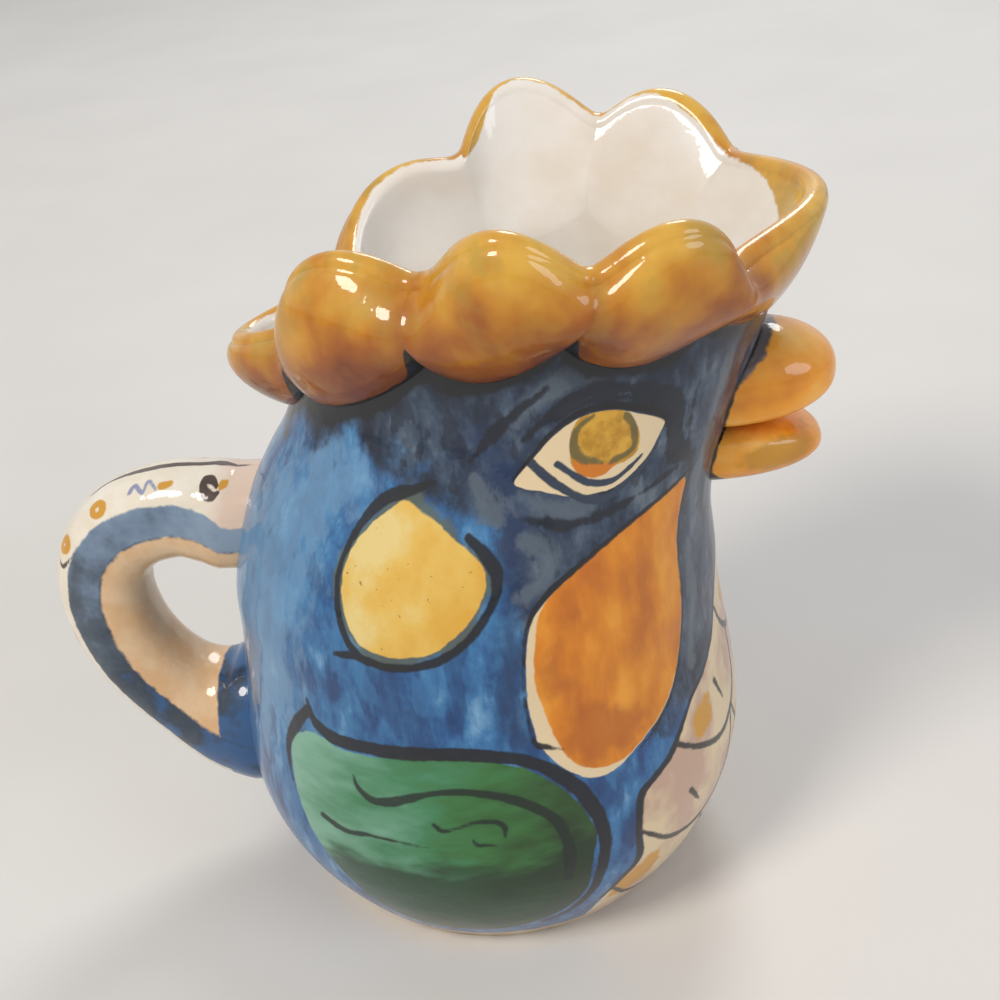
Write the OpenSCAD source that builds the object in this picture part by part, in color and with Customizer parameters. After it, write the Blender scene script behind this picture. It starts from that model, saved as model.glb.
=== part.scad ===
// Rooster pitcher: a glazed clay jug whose comb is the rim, whose beak sits under the spout
// and whose handle runs from the nape to the belly. Every lump of clay is a piece of its own.
// Z is up, the bird looks along +X, and the origin is the middle of the foot on the table.

/* [Belly] */
// Widest diameter of the belly
belly_d = 99.6; // [90:0.2:120]
// Height of the widest part of the belly above the table
belly_wide_z = 33; // [24:1:40]
// Height of the seam where the neck is luted to the belly
seam_z = 66; // [58:1:76]
// Diameter at that seam
seam_d = 93.6; // [84:0.2:97]
// Thickness of the clay wall
wall = 4.4; // [3:0.1:6]
// Thickness of the floor
floor_t = 6; // [4:0.5:9]
// Radius of the rounding between the floor and the wall, inside
floor_round = 8; // [4:0.5:12]

/* [Foot] */
// Diameter of the foot where it meets the table
foot_d = 71; // [60:0.5:84]
// Height of the foot ring
foot_h = 3.5; // [2:0.5:6]
// Width of the foot ring
foot_w = 6; // [4:0.5:9]

/* [Neck and head] */
// Height of the head wall from the seam to the valleys beside the brow
head_h = 59; // [50:1:70]
// Width of the head under the comb
head_w = 70; // [62:1:80]
// Reach of the head in front of the belly's axis, at its top
head_front = 61; // [54:1:68]
// Reach of the nape behind the belly's axis, at its top
head_rear = 27; // [22:1:36]

/* [Comb] */
// Height of the comb's middle notches above the top of the head wall
comb_h = 13.5; // [10:0.5:20]
// How far a lobe's rim swings out between its notches
lobe_flare = 7; // [3:0.5:10]
// How far a lobe's rim rises between its notches
lobe_crown = 9; // [4:0.5:14]
// How far a lobe's cheek swells out over the straight wall
lobe_puff = 5; // [2:0.5:7]
// How far the comb swells out at the valleys between its lobes
valley_puff = 5.5; // [2:0.5:7]
// How far a lobe hangs below the valleys beside it
lobe_dip = 4.5; // [2:0.5:6]

/* [Spout and tail lobe] */
// How far the spout's lip reaches ahead of its notches
spout_reach = 14; // [8:0.5:20]
// How far the spout's lip rises above its notches
spout_rise = 2; // [0:0.5:5]
// How far the spout's seam dips below the valleys beside it
spout_dip = 4.5; // [2:0.5:7]
// How far the tail lobe's rim reaches behind its notches
tail_reach = 16; // [8:0.5:20]
// How far the tail lobe's rim lies below its notches
tail_drop = 5; // [0:0.5:7]
// How far the tail lobe hangs below its valleys
tail_dip = 9; // [5:0.5:12]

/* [Beak] */
// Height of the mouth line above the seam
mouth_h = 29.2; // [24:0.2:32]
// How far the upper beak stands out from the face
upper_beak_l = 16.5; // [10:0.5:22]
// Width of the upper beak at the face
upper_beak_w = 25; // [20:1:32]
// Height of the upper beak at the face
upper_beak_h = 17; // [14:0.5:20]
// How far the lower beak stands out from the face
lower_beak_l = 19; // [10:0.5:24]
// Width of the lower beak at the face
lower_beak_w = 23; // [18:1:28]
// Height of the lower beak at the face
lower_beak_h = 12; // [9:0.5:15]

/* [Handle] */
// How far the middle of the handle stands behind the seam
handle_reach = 29; // [26:1:44]
// Height of the middle of the handle's upper run
handle_high = 81.4; // [78:0.2:84]
// Height of the middle of the handle's lower root
handle_low = 31.5; // [22:0.5:34]
// Width of the handle across the jug
handle_w = 17; // [14:0.5:24]
// Thickness of the handle in its own plane
handle_t = 18.6; // [10:0.2:20]
// Share by which the upper root spreads out on the neck
upper_root_share = 0.15; // [0:0.05:0.3]
// Share by which the lower root spreads out on the belly
lower_root_share = 0.6; // [0:0.05:0.6]

/* [Hidden] */

// Shares up the head wall: height, then how far the rear, the front and the half width
// have gone from the round seam to the head's own reach. The first row mirrors the third,
// so that the wall leaves the seam upright
head_share = [
    [-0.20, 0.13, -0.04, 0.10],
    [0.00, 0.00, 0.00, 0.00],
    [0.20, 0.13, -0.04, 0.10],
    [0.34, 0.29, 0.02, 0.30],
    [0.46, 0.50, 0.15, 0.54],
    [0.58, 0.74, 0.33, 0.76],
    [0.70, 0.89, 0.52, 0.91],
    [0.84, 0.98, 0.74, 0.98],
    [1.00, 1.00, 1.00, 1.00]
];

// Notches of the comb, round from the spout's right side: the angle of the valley on the
// head wall, then the notch's place on the rim as shares of the head's half length, of its
// half width and of comb_h, then the valley's height as a share of head_h and its swelling
// as a share of valley_puff
notch_share = [
    [-49, 0.76, -0.71, 0.63, 0.97, 1],
    [45, 0.82, 0.74, 0.83, 0.94, 1],
    [78, 0.27, 1.06, 1.22, 1.00, 1],
    [108, -0.34, 0.86, 0.97, 0.97, 1],
    [150, -0.82, 0.42, -0.25, 0.78, 0.5],
    [207, -0.91, -0.44, -0.10, 0.78, 0.5],
    [250, -0.35, -0.86, 0.89, 0.96, 1],
    [278, 0.26, -1.06, 1.00, 1.00, 1],
    [311, 0.76, -0.71, 0.63, 0.97, 1]
];

// Lobes between neighbouring notches, in the same order
LOBES = [
    "spout_lip", "comb_left_front", "comb_left_middle", "comb_left_rear",
    "tail_lobe", "comb_right_rear", "comb_right_middle", "comb_right_front"
];
// Steps round each lobe, then the shares of its reach, its rise, its puff and its dip
LOBE_STEPS = [12, 8, 8, 8, 10, 8, 8, 8];
reach_share = [1, 0.55, 1, 0.75, 1, 0.65, 1, 0.7];
rise_share = [1, 0.72, 1, 0.78, -1, 1.15, 0.97, 0.92];
puff_share = [0.3, 0.9, 0.9, 1.2, 0.9, 1, 0.9, 0.9];
dip_share = [1, 1.1, 1, 1, 1, 1, 1, 1.1];
// Powers by which each lobe leans: below 1 it is fuller at its first or at its last notch
FIRST_LEANS = [1, 1, 1, 1, 1, 0.72, 1.2, 1];
LAST_LEANS = [1, 1, 0.85, 0.7, 1, 1, 1, 0.8];
// Share of a lobe's swelling that shows inside the jug
inner_puff_share = 0.2;
// Share by which the valleys between the lobes are rounded
valley_round_share = 0.3;
// Powers of the scallops: the rim of a lobe, the pointed rim of the spout, the seam, the
// swelling round a lobe, and the swelling up its outside and its inside
RIM_POWER = 0.35;
SPOUT_POWER = 0.8;
SEAM_POWER = 0.7;
PUFF_POWER = 0.3;
CHEEK_POWER = 0.7;
INNER_CHEEK_POWER = 1.3;
// Power by which the inside of a lobe leaves the head wall upright and flares late
FLARE_POWER = 1.6;

// Middle line of the handle: shares of handle_reach behind the seam, and of the way up from
// the lower root to the upper run
handle_path_share = [
    [0.00, 0.94], [0.16, 0.965], [0.39, 0.98], [0.70, 0.93], [0.92, 0.81], [1.00, 0.64],
    [0.96, 0.45], [0.83, 0.28], [0.61, 0.13], [0.35, 0.035], [0.05, 0.00]
];
// Share of the handle's length over which a root spreads
root_length_share = 0.14;
// Squareness of the handle's section, 2 for an ellipse
HANDLE_SQUARENESS = 2.4;
// Bluntness of the beak's nose, and flatness of its root along the mouth
BEAK_BLUNTNESS = 2.2;
MOUTH_FLATNESS = 0.35;

// Counts of rows and steps that the curved skins are cut into
HEAD_ROWS = 10;
COMB_ROWS = 8;
LIP_STEPS = 4;
HANDLE_RINGS = 30;
HANDLE_SIDES = 20;
BEAK_RINGS = 9;
BEAK_SIDES = 24;
CAP_RINGS = 3;
PROFILE_STEPS = 8;
ROUND_STEPS = 6;
TURN_STEPS = 120;
// Share of the handle's length over which its direction is taken
DIRECTION_SHARE = 0.003;

belly_r = belly_d / 2;
seam_r = seam_d / 2;
foot_r = foot_d / 2;
lip_r = wall / 2;
head_top_z = seam_z + head_h;
head_mid = (head_front - head_rear) / 2;
head_half = (head_front + head_rear) / 2;
mouth_z = seam_z + mouth_h;
inner_floor_z = foot_h + floor_t;

// Value between a and b at share t
function mix(a, b, t) = a + (b - a) * t;

// Slope of column c of a table at row i, from the rows on either side
function slope(table, c, i) =
    let (lo = max(i - 1, 0), hi = min(i + 1, len(table) - 1))
    (table[hi][c] - table[lo][c]) / (table[hi][0] - table[lo][0]);

// Row of the table whose stretch holds the key x
function stretch(table, x, i = 0) =
    i >= len(table) - 2 || x < table[i + 1][0] ? i : stretch(table, x, i + 1);

// Smooth curve through column c of a table against its first column
function smooth(table, c, x) =
    let (
        i = stretch(table, x),
        h = table[i + 1][0] - table[i][0],
        t = (x - table[i][0]) / h,
        t2 = t * t,
        t3 = t2 * t
    )
    (2 * t3 - 3 * t2 + 1) * table[i][c] + (t3 - 2 * t2 + t) * h * slope(table, c, i)
    + (3 * t2 - 2 * t3) * table[i + 1][c] + (t3 - t2) * h * slope(table, c, i + 1);

// Radius of the belly at height z: a parabola up to the widest part, then half a wave in
function belly_at(z) =
    z < belly_wide_z
        ? mix(foot_r, belly_r, 1 - pow(1 - z / belly_wide_z, 2))
        : mix(seam_r, belly_r, (1 + cos(180 * (z - belly_wide_z) / (seam_z - belly_wide_z))) / 2);

// Rear, front and half width of the head wall at height z
function head_rear_at(z) = mix(seam_r, head_rear, smooth(head_share, 1, (z - seam_z) / head_h));
function head_front_at(z) = mix(seam_r, head_front, smooth(head_share, 2, (z - seam_z) / head_h));
function head_side_at(z) = mix(seam_r, head_w / 2, smooth(head_share, 3, (z - seam_z) / head_h));

// Point of the head wall at an angle and a height, set in from the outside by inset
function head_point(angle, z, inset = 0) =
    let (
        rear = head_rear_at(z),
        front = head_front_at(z),
        half = head_side_at(z)
    )
    [
        (front - rear) / 2 + ((front + rear) / 2 - inset) * cos(angle),
        (half - inset) * sin(angle),
        z
    ];

// Outside of the head wall ahead of (side = 1) or behind (side = -1) its middle, at y and z
function head_x(y, z, side) =
    let (
        rear = head_rear_at(z),
        front = head_front_at(z),
        half = head_side_at(z)
    )
    (front - rear) / 2 + side * (front + rear) / 2 * sqrt(max(0, 1 - pow(y / half, 2)));

// Outside of the belly behind its axis, at y and z
function belly_back_x(y, z) = -sqrt(max(0, pow(belly_at(z), 2) - y * y));

// Scallop at share s of its width: a wave to a power, its feet rounded by a share
function scallop(s, power, rounding = 0) =
    let (wave = max(0, sin(180 * s)), foot = pow(rounding, power))
    (pow(wave * wave + rounding * rounding, power / 2) - foot)
    / (pow(1 + rounding * rounding, power / 2) - foot);

// Notch i as a point of the rim
function notch(i) = [
    head_mid + head_half * notch_share[i][1],
    head_w / 2 * notch_share[i][2],
    head_top_z + comb_h * notch_share[i][3]
];

// The size that lobe k follows: the spout's, the tail's or the one that all lobes share
function own(k, spout, tail, lobe) =
    LOBES[k] == "spout_lip" ? spout : LOBES[k] == "tail_lobe" ? tail : lobe;

// Height of the seam under lobe k at share s
function lobe_seam_z(k, s) =
    seam_z + head_h * mix(notch_share[k][4], notch_share[k + 1][4], s)
    - dip_share[k] * own(k, spout_dip, tail_dip, lobe_dip) * scallop(s, SEAM_POWER);

// Angle on the head wall under lobe k at share s
function lobe_angle(k, s) = mix(notch_share[k][0], notch_share[k + 1][0], s);

// Way that lobe k swings out, level: ahead, behind or square to its own chord
function lobe_way(k) =
    let (chord = notch(k + 1) - notch(k), size = norm([chord.x, chord.y]))
    own(k, [1, 0, 0], [-1, 0, 0], [chord.y, -chord.x, 0] / size);

// Level direction from the middle of the head to point p
function outward(p) =
    let (flat = [p.x - head_mid, p.y, 0])
    flat / norm(flat);

// Share s of lobe k, leaned towards its fuller end
function lean(k, s) = 1 - pow(1 - pow(s, FIRST_LEANS[k]), LAST_LEANS[k]);

// Middle of the rim of lobe k at share s, before its rounding
function lobe_rim(k, s) =
    let (
        leaned = lean(k, s),
        reach = reach_share[k] * own(k, spout_reach, tail_reach, lobe_flare),
        rise = rise_share[k] * own(k, spout_rise, tail_drop, lobe_crown),
        power = own(k, SPOUT_POWER, RIM_POWER, RIM_POWER)
    )
    mix(notch(k), notch(k + 1), s) + lobe_way(k) * reach * scallop(leaned, power, valley_round_share)
    + [0, 0, rise * scallop(leaned, RIM_POWER, valley_round_share) - lip_r];

// Closed loop of points round the wall of lobe k at share s: up the inside, over the
// rounded lip and down the outside
function lobe_loop(k, s) =
    let (
        angle = lobe_angle(k, s),
        z = lobe_seam_z(k, s),
        rim = lobe_rim(k, s),
        out = outward(mix(notch(k), notch(k + 1), s)),
        inner_seam = head_point(angle, z, wall),
        outer_seam = head_point(angle, z),
        puff = puff_share[k] * lobe_puff,
        valley = valley_puff * mix(notch_share[k][5], notch_share[k + 1][5], s),
        swell = mix(valley, puff, scallop(s, PUFF_POWER, valley_round_share)),
        inner_swell = puff * inner_puff_share * scallop(s, 1, valley_round_share),
        inner_rim = rim - out * lip_r
    )
    concat(
        [for (i = [0:COMB_ROWS])
            let (u = i / COMB_ROWS, level = mix(inner_seam, inner_rim, pow(u, FLARE_POWER)))
            [level.x, level.y, mix(inner_seam.z, inner_rim.z, u)]
            + out * inner_swell * scallop(u, INNER_CHEEK_POWER)],
        [for (i = [1:LIP_STEPS - 1])
            let (turn = 180 * i / LIP_STEPS)
            rim + [0, 0, lip_r * sin(turn)] - out * lip_r * cos(turn)],
        [for (i = [0:COMB_ROWS])
            let (u = 1 - i / COMB_ROWS)
            mix(outer_seam, rim + out * lip_r, u) + out * swell * scallop(u, CHEEK_POWER)]
    );

// Closed loop of points round the head wall under lobe k at share s: up the outside and
// down the inside, each from the seam on the belly to the lobe's seam
function head_loop(k, s) =
    let (angle = lobe_angle(k, s), top = lobe_seam_z(k, s))
    concat(
        [for (i = [0:HEAD_ROWS]) head_point(angle, mix(seam_z, top, i / HEAD_ROWS))],
        [for (i = [0:HEAD_ROWS]) head_point(angle, mix(top, seam_z, i / HEAD_ROWS), wall)]
    );

// Triangles between ring a and ring b of n points each, numbered from zero
function band(a, b, n) = [
    for (i = [0:n - 1])
        let (j = (i + 1) % n)
        each [[a * n + i, b * n + i, b * n + j], [a * n + i, b * n + j, a * n + j]]
];

// Triangles that close a strip-shaped loop of n points, rung by rung across it
function rungs(first, n) = [
    for (i = [0:floor(n / 2) - 1])
        let (a = first + i, b = first + i + 1, c = first + n - 2 - i, d = first + n - 1 - i)
        each [if (b != c) [a, b, c], [a, c, d]]
];

function flip(faces) = [for (f = faces) [f[2], f[1], f[0]]];

// Closed skin round a row of loops, with their strip-shaped ends filled
module strip_loft(loops) {
    n = len(loops[0]);
    last = len(loops) - 1;
    polyhedron(
        points = [for (ring = loops) each ring],
        faces = concat(
            [for (k = [0:last - 1]) each band(k, k + 1, n)],
            rungs(0, n),
            flip(rungs(last * n, n))
        ),
        convexity = 6
    );
}

// Closed skin round loops that meet in a circle
module ring_loft(loops) {
    n = len(loops[0]);
    count = len(loops);
    polyhedron(
        points = [for (ring = loops) each ring],
        faces = flip([for (k = [0:count - 1]) each band(k, (k + 1) % count, n)]),
        convexity = 8
    );
}

// Closed skin round rings, ended at both ends by a middle point
module round_loft(rings, start, end) {
    n = len(rings[0]);
    last = len(rings) - 1;
    points = [for (ring = rings) each ring];
    tip = len(points);
    polyhedron(
        points = concat(points, [start, end]),
        faces = concat(
            [for (k = [0:last - 1]) each band(k, k + 1, n)],
            [for (i = [0:n - 1]) [tip, i, (i + 1) % n]],
            [for (i = [0:n - 1]) [last * n + i, tip + 1, last * n + (i + 1) % n]]
        ),
        convexity = 4
    );
}

// Foot ring, turned under the belly
module foot_ring() {
    color("#B9A48C")
    rotate_extrude($fn = TURN_STEPS)
    polygon([
        [foot_r - foot_w, 0],
        [foot_r, 0],
        [belly_at(foot_h / 2), foot_h / 2],
        [belly_at(foot_h), foot_h],
        [foot_r - foot_w, foot_h]
    ]);
}

// Belly, a thrown pot with its floor
module belly() {
    heights = concat(
        [for (i = [0:PROFILE_STEPS - 1]) mix(foot_h, belly_wide_z, i / PROFILE_STEPS)],
        [for (i = [0:PROFILE_STEPS]) mix(belly_wide_z, seam_z, i / PROFILE_STEPS)]
    );
    outside = [for (z = heights) [belly_at(z), z]];
    round_z = inner_floor_z + floor_round;
    inside = [for (i = [0:2 * PROFILE_STEPS])
        let (z = mix(seam_z, round_z, i / (2 * PROFILE_STEPS)))
        [belly_at(z) - wall, z]];
    round_x = belly_at(round_z) - wall - floor_round;
    rounding = [for (i = [1:ROUND_STEPS])
        let (turn = 90 * i / ROUND_STEPS)
        [round_x + floor_round * cos(turn), round_z - floor_round * sin(turn)]];
    color("#2F6196")
    rotate_extrude($fn = TURN_STEPS)
    polygon(concat([[0, foot_h]], outside, inside, rounding, [[0, inner_floor_z]]));
}

// Neck and head, luted to the belly at the seam
module head_wall() {
    color("#34507A")
    ring_loft([
        for (k = [0:len(LOBES) - 1])
            for (i = [0:LOBE_STEPS[k] - 1])
                head_loop(k, i / LOBE_STEPS[k])
    ]);
}

// The named lobe of the comb, between two notches
module comb_lobe(name) {
    k = search([name], LOBES)[0];
    color("#D08A1E")
    strip_loft([for (i = [0:LOBE_STEPS[k]]) lobe_loop(k, i / LOBE_STEPS[k])]);
}

// One half of the beak, pressed on the face above (side = 1) or below (side = -1) the mouth
module beak_half(side, length, width, height) {
    middle_z = mouth_z + side * height / 2;
    tip_x = head_x(0, middle_z, 1) + length;
    // Height in the root's outline, flattened along the mouth
    function rise(turn) =
        let (s = sin(turn))
        s * side < 0 ? sign(s) * pow(abs(s), MOUTH_FLATNESS) : s;
    // Root of the beak on the face at share r of the way out from its middle
    function root(r, turn) =
        let (y = width / 2 * r * cos(turn), z = middle_z + height / 2 * r * rise(turn))
        [head_x(y, z, 1), y, z];
    // Nose of the beak: the root drawn ahead by a blunt dome
    function nose(r, turn) =
        let (base = root(r, turn), lift = sqrt(1 - pow(r, BEAK_BLUNTNESS)))
        [mix(base.x, tip_x, lift), base.y, base.z];
    turns = [for (i = [0:BEAK_SIDES - 1]) 360 * i / BEAK_SIDES];
    color("#E08A24")
    round_loft(
        concat(
            [for (k = [1:CAP_RINGS]) [for (turn = turns) root(k / CAP_RINGS, turn)]],
            [for (k = [1:BEAK_RINGS - 1])
                [for (turn = turns) nose(cos(90 * k / BEAK_RINGS), turn)]]
        ),
        root(0, 0),
        nose(0, 0)
    );
}

module upper_beak() {
    beak_half(1, upper_beak_l, upper_beak_w, upper_beak_h);
}

module lower_beak() {
    beak_half(-1, lower_beak_l, lower_beak_w, lower_beak_h);
}

// Middle of the handle at share t of its length
handle_table = [
    for (i = [0:len(handle_path_share) - 1])
        [i, -seam_r - handle_reach * handle_path_share[i][0],
            mix(handle_low, handle_high, handle_path_share[i][1])]
];
function handle_mid(t) =
    let (key = t * (len(handle_table) - 1))
    [smooth(handle_table, 1, key), 0, smooth(handle_table, 2, key)];

// Handle, a thick pulled roll with spread roots
module handle() {
    // Ring round the roll at share t, drawn in by share r
    function roll_ring(t, r) =
        let (
            before = handle_mid(max(0, t - DIRECTION_SHARE)),
            after = handle_mid(min(1, t + DIRECTION_SHARE)),
            way = after - before,
            across = [way.z, 0, -way.x] / norm(way),
            spread = 1 + upper_root_share * exp(-pow(t / root_length_share, 2))
                + lower_root_share * exp(-pow((1 - t) / root_length_share, 2))
        )
        [for (i = [0:HANDLE_SIDES - 1])
            let (
                turn = 360 * i / HANDLE_SIDES,
                c = cos(turn),
                s = sin(turn),
                size = r * spread
                    / pow(pow(abs(c), HANDLE_SQUARENESS) + pow(abs(s), HANDLE_SQUARENESS),
                        1 / HANDLE_SQUARENESS)
            )
            handle_mid(t) + across * handle_t / 2 * size * c + [0, handle_w / 2 * size * s, 0]];
    // The same ring slid level on to the wall that carries the root
    function on_head(ring) = [for (p = ring) [head_x(p.y, p.z, -1), p.y, p.z]];
    function on_belly(ring) = [for (p = ring) [belly_back_x(p.y, p.z), p.y, p.z]];
    upper_mid = handle_mid(0);
    lower_mid = handle_mid(1);
    color("#7F97B8")
    round_loft(
        concat(
            [for (k = [1:CAP_RINGS]) on_head(roll_ring(0, k / CAP_RINGS))],
            [for (k = [1:HANDLE_RINGS - 1]) roll_ring(k / HANDLE_RINGS, 1)],
            [for (k = [0:CAP_RINGS - 1]) on_belly(roll_ring(1, 1 - k / CAP_RINGS))]
        ),
        [head_x(0, upper_mid.z, -1), 0, upper_mid.z],
        [belly_back_x(0, lower_mid.z), 0, lower_mid.z]
    );
}

foot_ring();
belly();
head_wall();
comb_lobe("spout_lip");  // spout_lip
comb_lobe("tail_lobe");  // tail_lobe
comb_lobe("comb_left_front");  // comb_left_front
comb_lobe("comb_left_middle");  // comb_left_middle
comb_lobe("comb_left_rear");  // comb_left_rear
comb_lobe("comb_right_rear");  // comb_right_rear
comb_lobe("comb_right_middle");  // comb_right_middle
comb_lobe("comb_right_front");  // comb_right_front
upper_beak();
lower_beak();
handle();
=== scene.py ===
"""Rooster pitcher: a hand-painted, glazed clay jug, dressed over its CAD frame.

The forms are the part's own formulas on finer grids, so every piece lies where its CAD node lies.
The painting is drawn as signed distances in millimetres on the wall, unrolled as angle and height,
and the glazes read those distances as attributes.
"""

import logging
from collections.abc import Callable
from dataclasses import dataclass, field
from enum import Enum

import bpy  # noqa: E402
import numpy as np  # noqa: E402
from mathutils import Matrix, Vector  # noqa: E402

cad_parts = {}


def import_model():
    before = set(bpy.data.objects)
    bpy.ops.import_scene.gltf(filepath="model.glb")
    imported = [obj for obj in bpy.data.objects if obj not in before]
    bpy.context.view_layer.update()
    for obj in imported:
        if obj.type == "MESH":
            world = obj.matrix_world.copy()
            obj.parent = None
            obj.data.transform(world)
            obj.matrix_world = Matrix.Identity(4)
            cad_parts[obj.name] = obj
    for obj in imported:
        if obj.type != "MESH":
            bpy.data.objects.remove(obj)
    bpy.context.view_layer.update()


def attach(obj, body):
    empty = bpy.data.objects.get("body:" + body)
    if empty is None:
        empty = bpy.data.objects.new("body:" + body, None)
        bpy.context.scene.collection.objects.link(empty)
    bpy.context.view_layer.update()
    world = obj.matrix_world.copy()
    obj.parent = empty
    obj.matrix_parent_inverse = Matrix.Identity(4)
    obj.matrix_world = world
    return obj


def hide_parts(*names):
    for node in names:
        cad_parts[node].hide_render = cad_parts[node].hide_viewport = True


LOG = logging.getLogger("rooster_pitcher")
MM = 0.001
# Distance to a mark given to points well away from it, how far round a mark distances are worked
# out, and the least length that is divided by, all in mm
FAR, NEAR, TINY = 30.0, 8.0, 1e-9
# Edges that turn by more than this stay sharp, in degrees
SHARP_TURN = 48.0
# Size of the wobble along painted edges, in mm
BRISTLE = 2.2
Socket = bpy.types.NodeSocket
Numbers = np.ndarray | float
Outline = list[tuple[float, float]]
Stroke = list[tuple[float, float, float]]
Tones = tuple[str, ...]
Spot = tuple[float, float, float]


# Small sums


def mix(low: Numbers, high: Numbers, share: Numbers) -> Numbers:
    """Value between low and high at a share: low + (high - low) * share.

    Args:
        low: Value at share 0.
        high: Value at share 1.
        share: Way from low to high.

    Returns:
        The values between.
    """
    return low + (high - low) * share


def hermite(
    t: Numbers, start: np.ndarray, end: np.ndarray, slope: np.ndarray, slope_end: np.ndarray
) -> np.ndarray:
    """Cubic from a start to an end that leaves and arrives at the given slopes.

    Args:
        t: Share of the way.
        start: Value at share 0.
        end: Value at share 1.
        slope: Slope at share 0, for the whole way.
        slope_end: Slope at share 1, for the whole way.

    Returns:
        The values at the shares.
    """
    rest = 1 - t
    leave = (1 + 2 * t) * rest**2 * start + t * rest**2 * slope
    return leave + t**2 * (3 - 2 * t) * end - t**2 * rest * slope_end


def smooth(table: np.ndarray, column: int, key: np.ndarray) -> np.ndarray:
    """Hermite curve through a column of a table against its first column.

    The slope at a row is that of the chord between the rows on either side of it.

    Args:
        table: Rows of shares, with rising keys in column 0.
        column: Column to read.
        key: Where to read it.

    Returns:
        The curve's values.
    """
    keys, values = table[:, 0], table[:, column]
    last = len(keys) - 1
    below = np.maximum(np.arange(last + 1) - 1, 0)
    above = np.minimum(np.arange(last + 1) + 1, last)
    slope = (values[above] - values[below]) / (keys[above] - keys[below])
    i = np.clip(np.searchsorted(keys, key, side="right") - 1, 0, last - 1)
    width = keys[i + 1] - keys[i]
    return hermite((key - keys[i]) / width, values[i], values[i + 1], width * slope[i], width * slope[i + 1])


def scallop(share: np.ndarray, fullness: float, softness: float = 0.0) -> np.ndarray:
    """Bulge that is 0 at shares 0 and 1 and 1 half way: (sin^2 + soft^2)^(fullness / 2), levelled.

    Args:
        share: Way across the bulge.
        fullness: Power of the sine; less than 1 is fuller.
        softness: Rounding of its two feet, 0 for none.

    Returns:
        The bulge's height, from 0 to 1.
    """
    wave = np.clip(np.sin(np.pi * share), 0, None) ** 2
    foot = softness**fullness if softness else 0.0
    peak = (1 + softness**2) ** (fullness / 2)
    return ((wave + softness**2) ** (fullness / 2) - foot) / (peak - foot)


def turns(count: int) -> np.ndarray:
    """Angles of a full turn in radians, in equal steps from 0."""
    return 2 * np.pi * np.arange(count) / count


def colour(code: str) -> tuple[float, float, float, float]:
    """Turns an sRGB hex value to linear RGBA.

    Args:
        code: Six hex digits after a hash.

    Returns:
        Linear red, green, blue and an alpha of 1.
    """
    parts = [int(code[i : i + 2], 16) / 255 for i in (1, 3, 5)]
    linear = [c / 12.92 if c <= 0.04045 else ((c + 0.055) / 1.055) ** 2.4 for c in parts]
    return (linear[0], linear[1], linear[2], 1.0)


# Drawing on the unrolled wall


class Loop(Enum):
    """Whether a drawn line closes on itself."""

    OPEN = 0
    CLOSED = 1


def curve(points: np.ndarray, loop: Loop, steps: int = 6) -> np.ndarray:
    """Curve through control points, each stretch a Hermite cubic with chord slopes.

    Args:
        points: Rows of coordinates; further columns, such as a width, are carried along.
        loop: Whether the last point leads back to the first.
        steps: Points made for each stretch.

    Returns:
        The finer rows.
    """
    if loop is Loop.CLOSED:
        ahead, behind = np.roll(points, -1, axis=0), np.roll(points, 1, axis=0)
        slope = (ahead - behind) / 2
        start, end, slope_end = points, ahead, np.roll(slope, -1, axis=0)
    else:
        slope = np.gradient(points, axis=0)
        start, end, slope, slope_end = points[:-1], points[1:], slope[:-1], slope[1:]
    t = (np.arange(steps) / steps)[None, :, None]
    made = hermite(t, start[:, None], end[:, None], slope[:, None], slope_end[:, None])
    made = made.reshape(-1, points.shape[1])
    return made if loop is Loop.CLOSED else np.vstack([made, points[-1:]])


def legs(
    where: np.ndarray, starts: np.ndarray, ends: np.ndarray
) -> tuple[np.ndarray, np.ndarray, np.ndarray]:
    """Nearest place on every leg of a line, for the points that are near the line.

    Args:
        where: Points, one row each.
        starts: Where each leg starts.
        ends: Where each leg ends.

    Returns:
        Which points are near, then share of the leg and distance, by near point and leg.
    """
    places = np.vstack([starts, ends])
    near = np.all((where > places.min(0) - NEAR) & (where < places.max(0) + NEAR), axis=1)
    spots, edge = where[near][:, None], ends - starts
    t = np.clip(((spots - starts) * edge).sum(-1) / np.maximum((edge**2).sum(-1), TINY), 0, 1)
    return near, t, np.sqrt(((spots - starts - t[..., None] * edge) ** 2).sum(-1))


def patch_distance(where: np.ndarray, outline: Outline, stretch: float) -> np.ndarray:
    """Signed distance to a closed, rounded outline: below zero inside it.

    The distance is the least one to any leg, and its sign comes from how often a ray to the
    right crosses the outline.

    Args:
        where: Points, one row each.
        outline: Corners that the outline is drawn through.
        stretch: Factor that turns the corners' first coordinate to mm.

    Returns:
        One distance for each point, FAR for those well away.
    """
    starts = curve(np.array(outline) * [stretch, 1], Loop.CLOSED)
    ends = np.roll(starts, -1, axis=0)
    near, _, gap = legs(where, starts, ends)
    x, y = where[near].T[..., None]
    level = (starts[:, 1] > y) != (ends[:, 1] > y)
    run, rise = (ends - starts).T
    cross = starts[:, 0] + (y - starts[:, 1]) / np.where(np.abs(rise) < TINY, TINY, rise) * run
    inside = (level & (x < cross)).sum(1) % 2 == 1
    out = np.full(len(where), FAR)
    out[near] = np.where(inside, -1, 1) * gap.min(1)
    return out


def stroke_distance(where: np.ndarray, stroke: Stroke, stretch: float) -> np.ndarray:
    """Signed distance to a brush stroke: distance to its middle line less half its width there.

    Args:
        where: Points, one row each.
        stroke: Rows of place and width along the stroke.
        stretch: Factor that turns the rows' first coordinate to mm.

    Returns:
        One distance for each point, FAR for those well away.
    """
    path = curve(np.array(stroke) * [stretch, 1, 1], Loop.OPEN)
    near, t, gap = legs(where, path[:-1, :2], path[1:, :2])
    out = np.full(len(where), FAR)
    out[near] = (gap - mix(path[:-1, 2], path[1:, 2], t) / 2).min(1)
    return out


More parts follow.
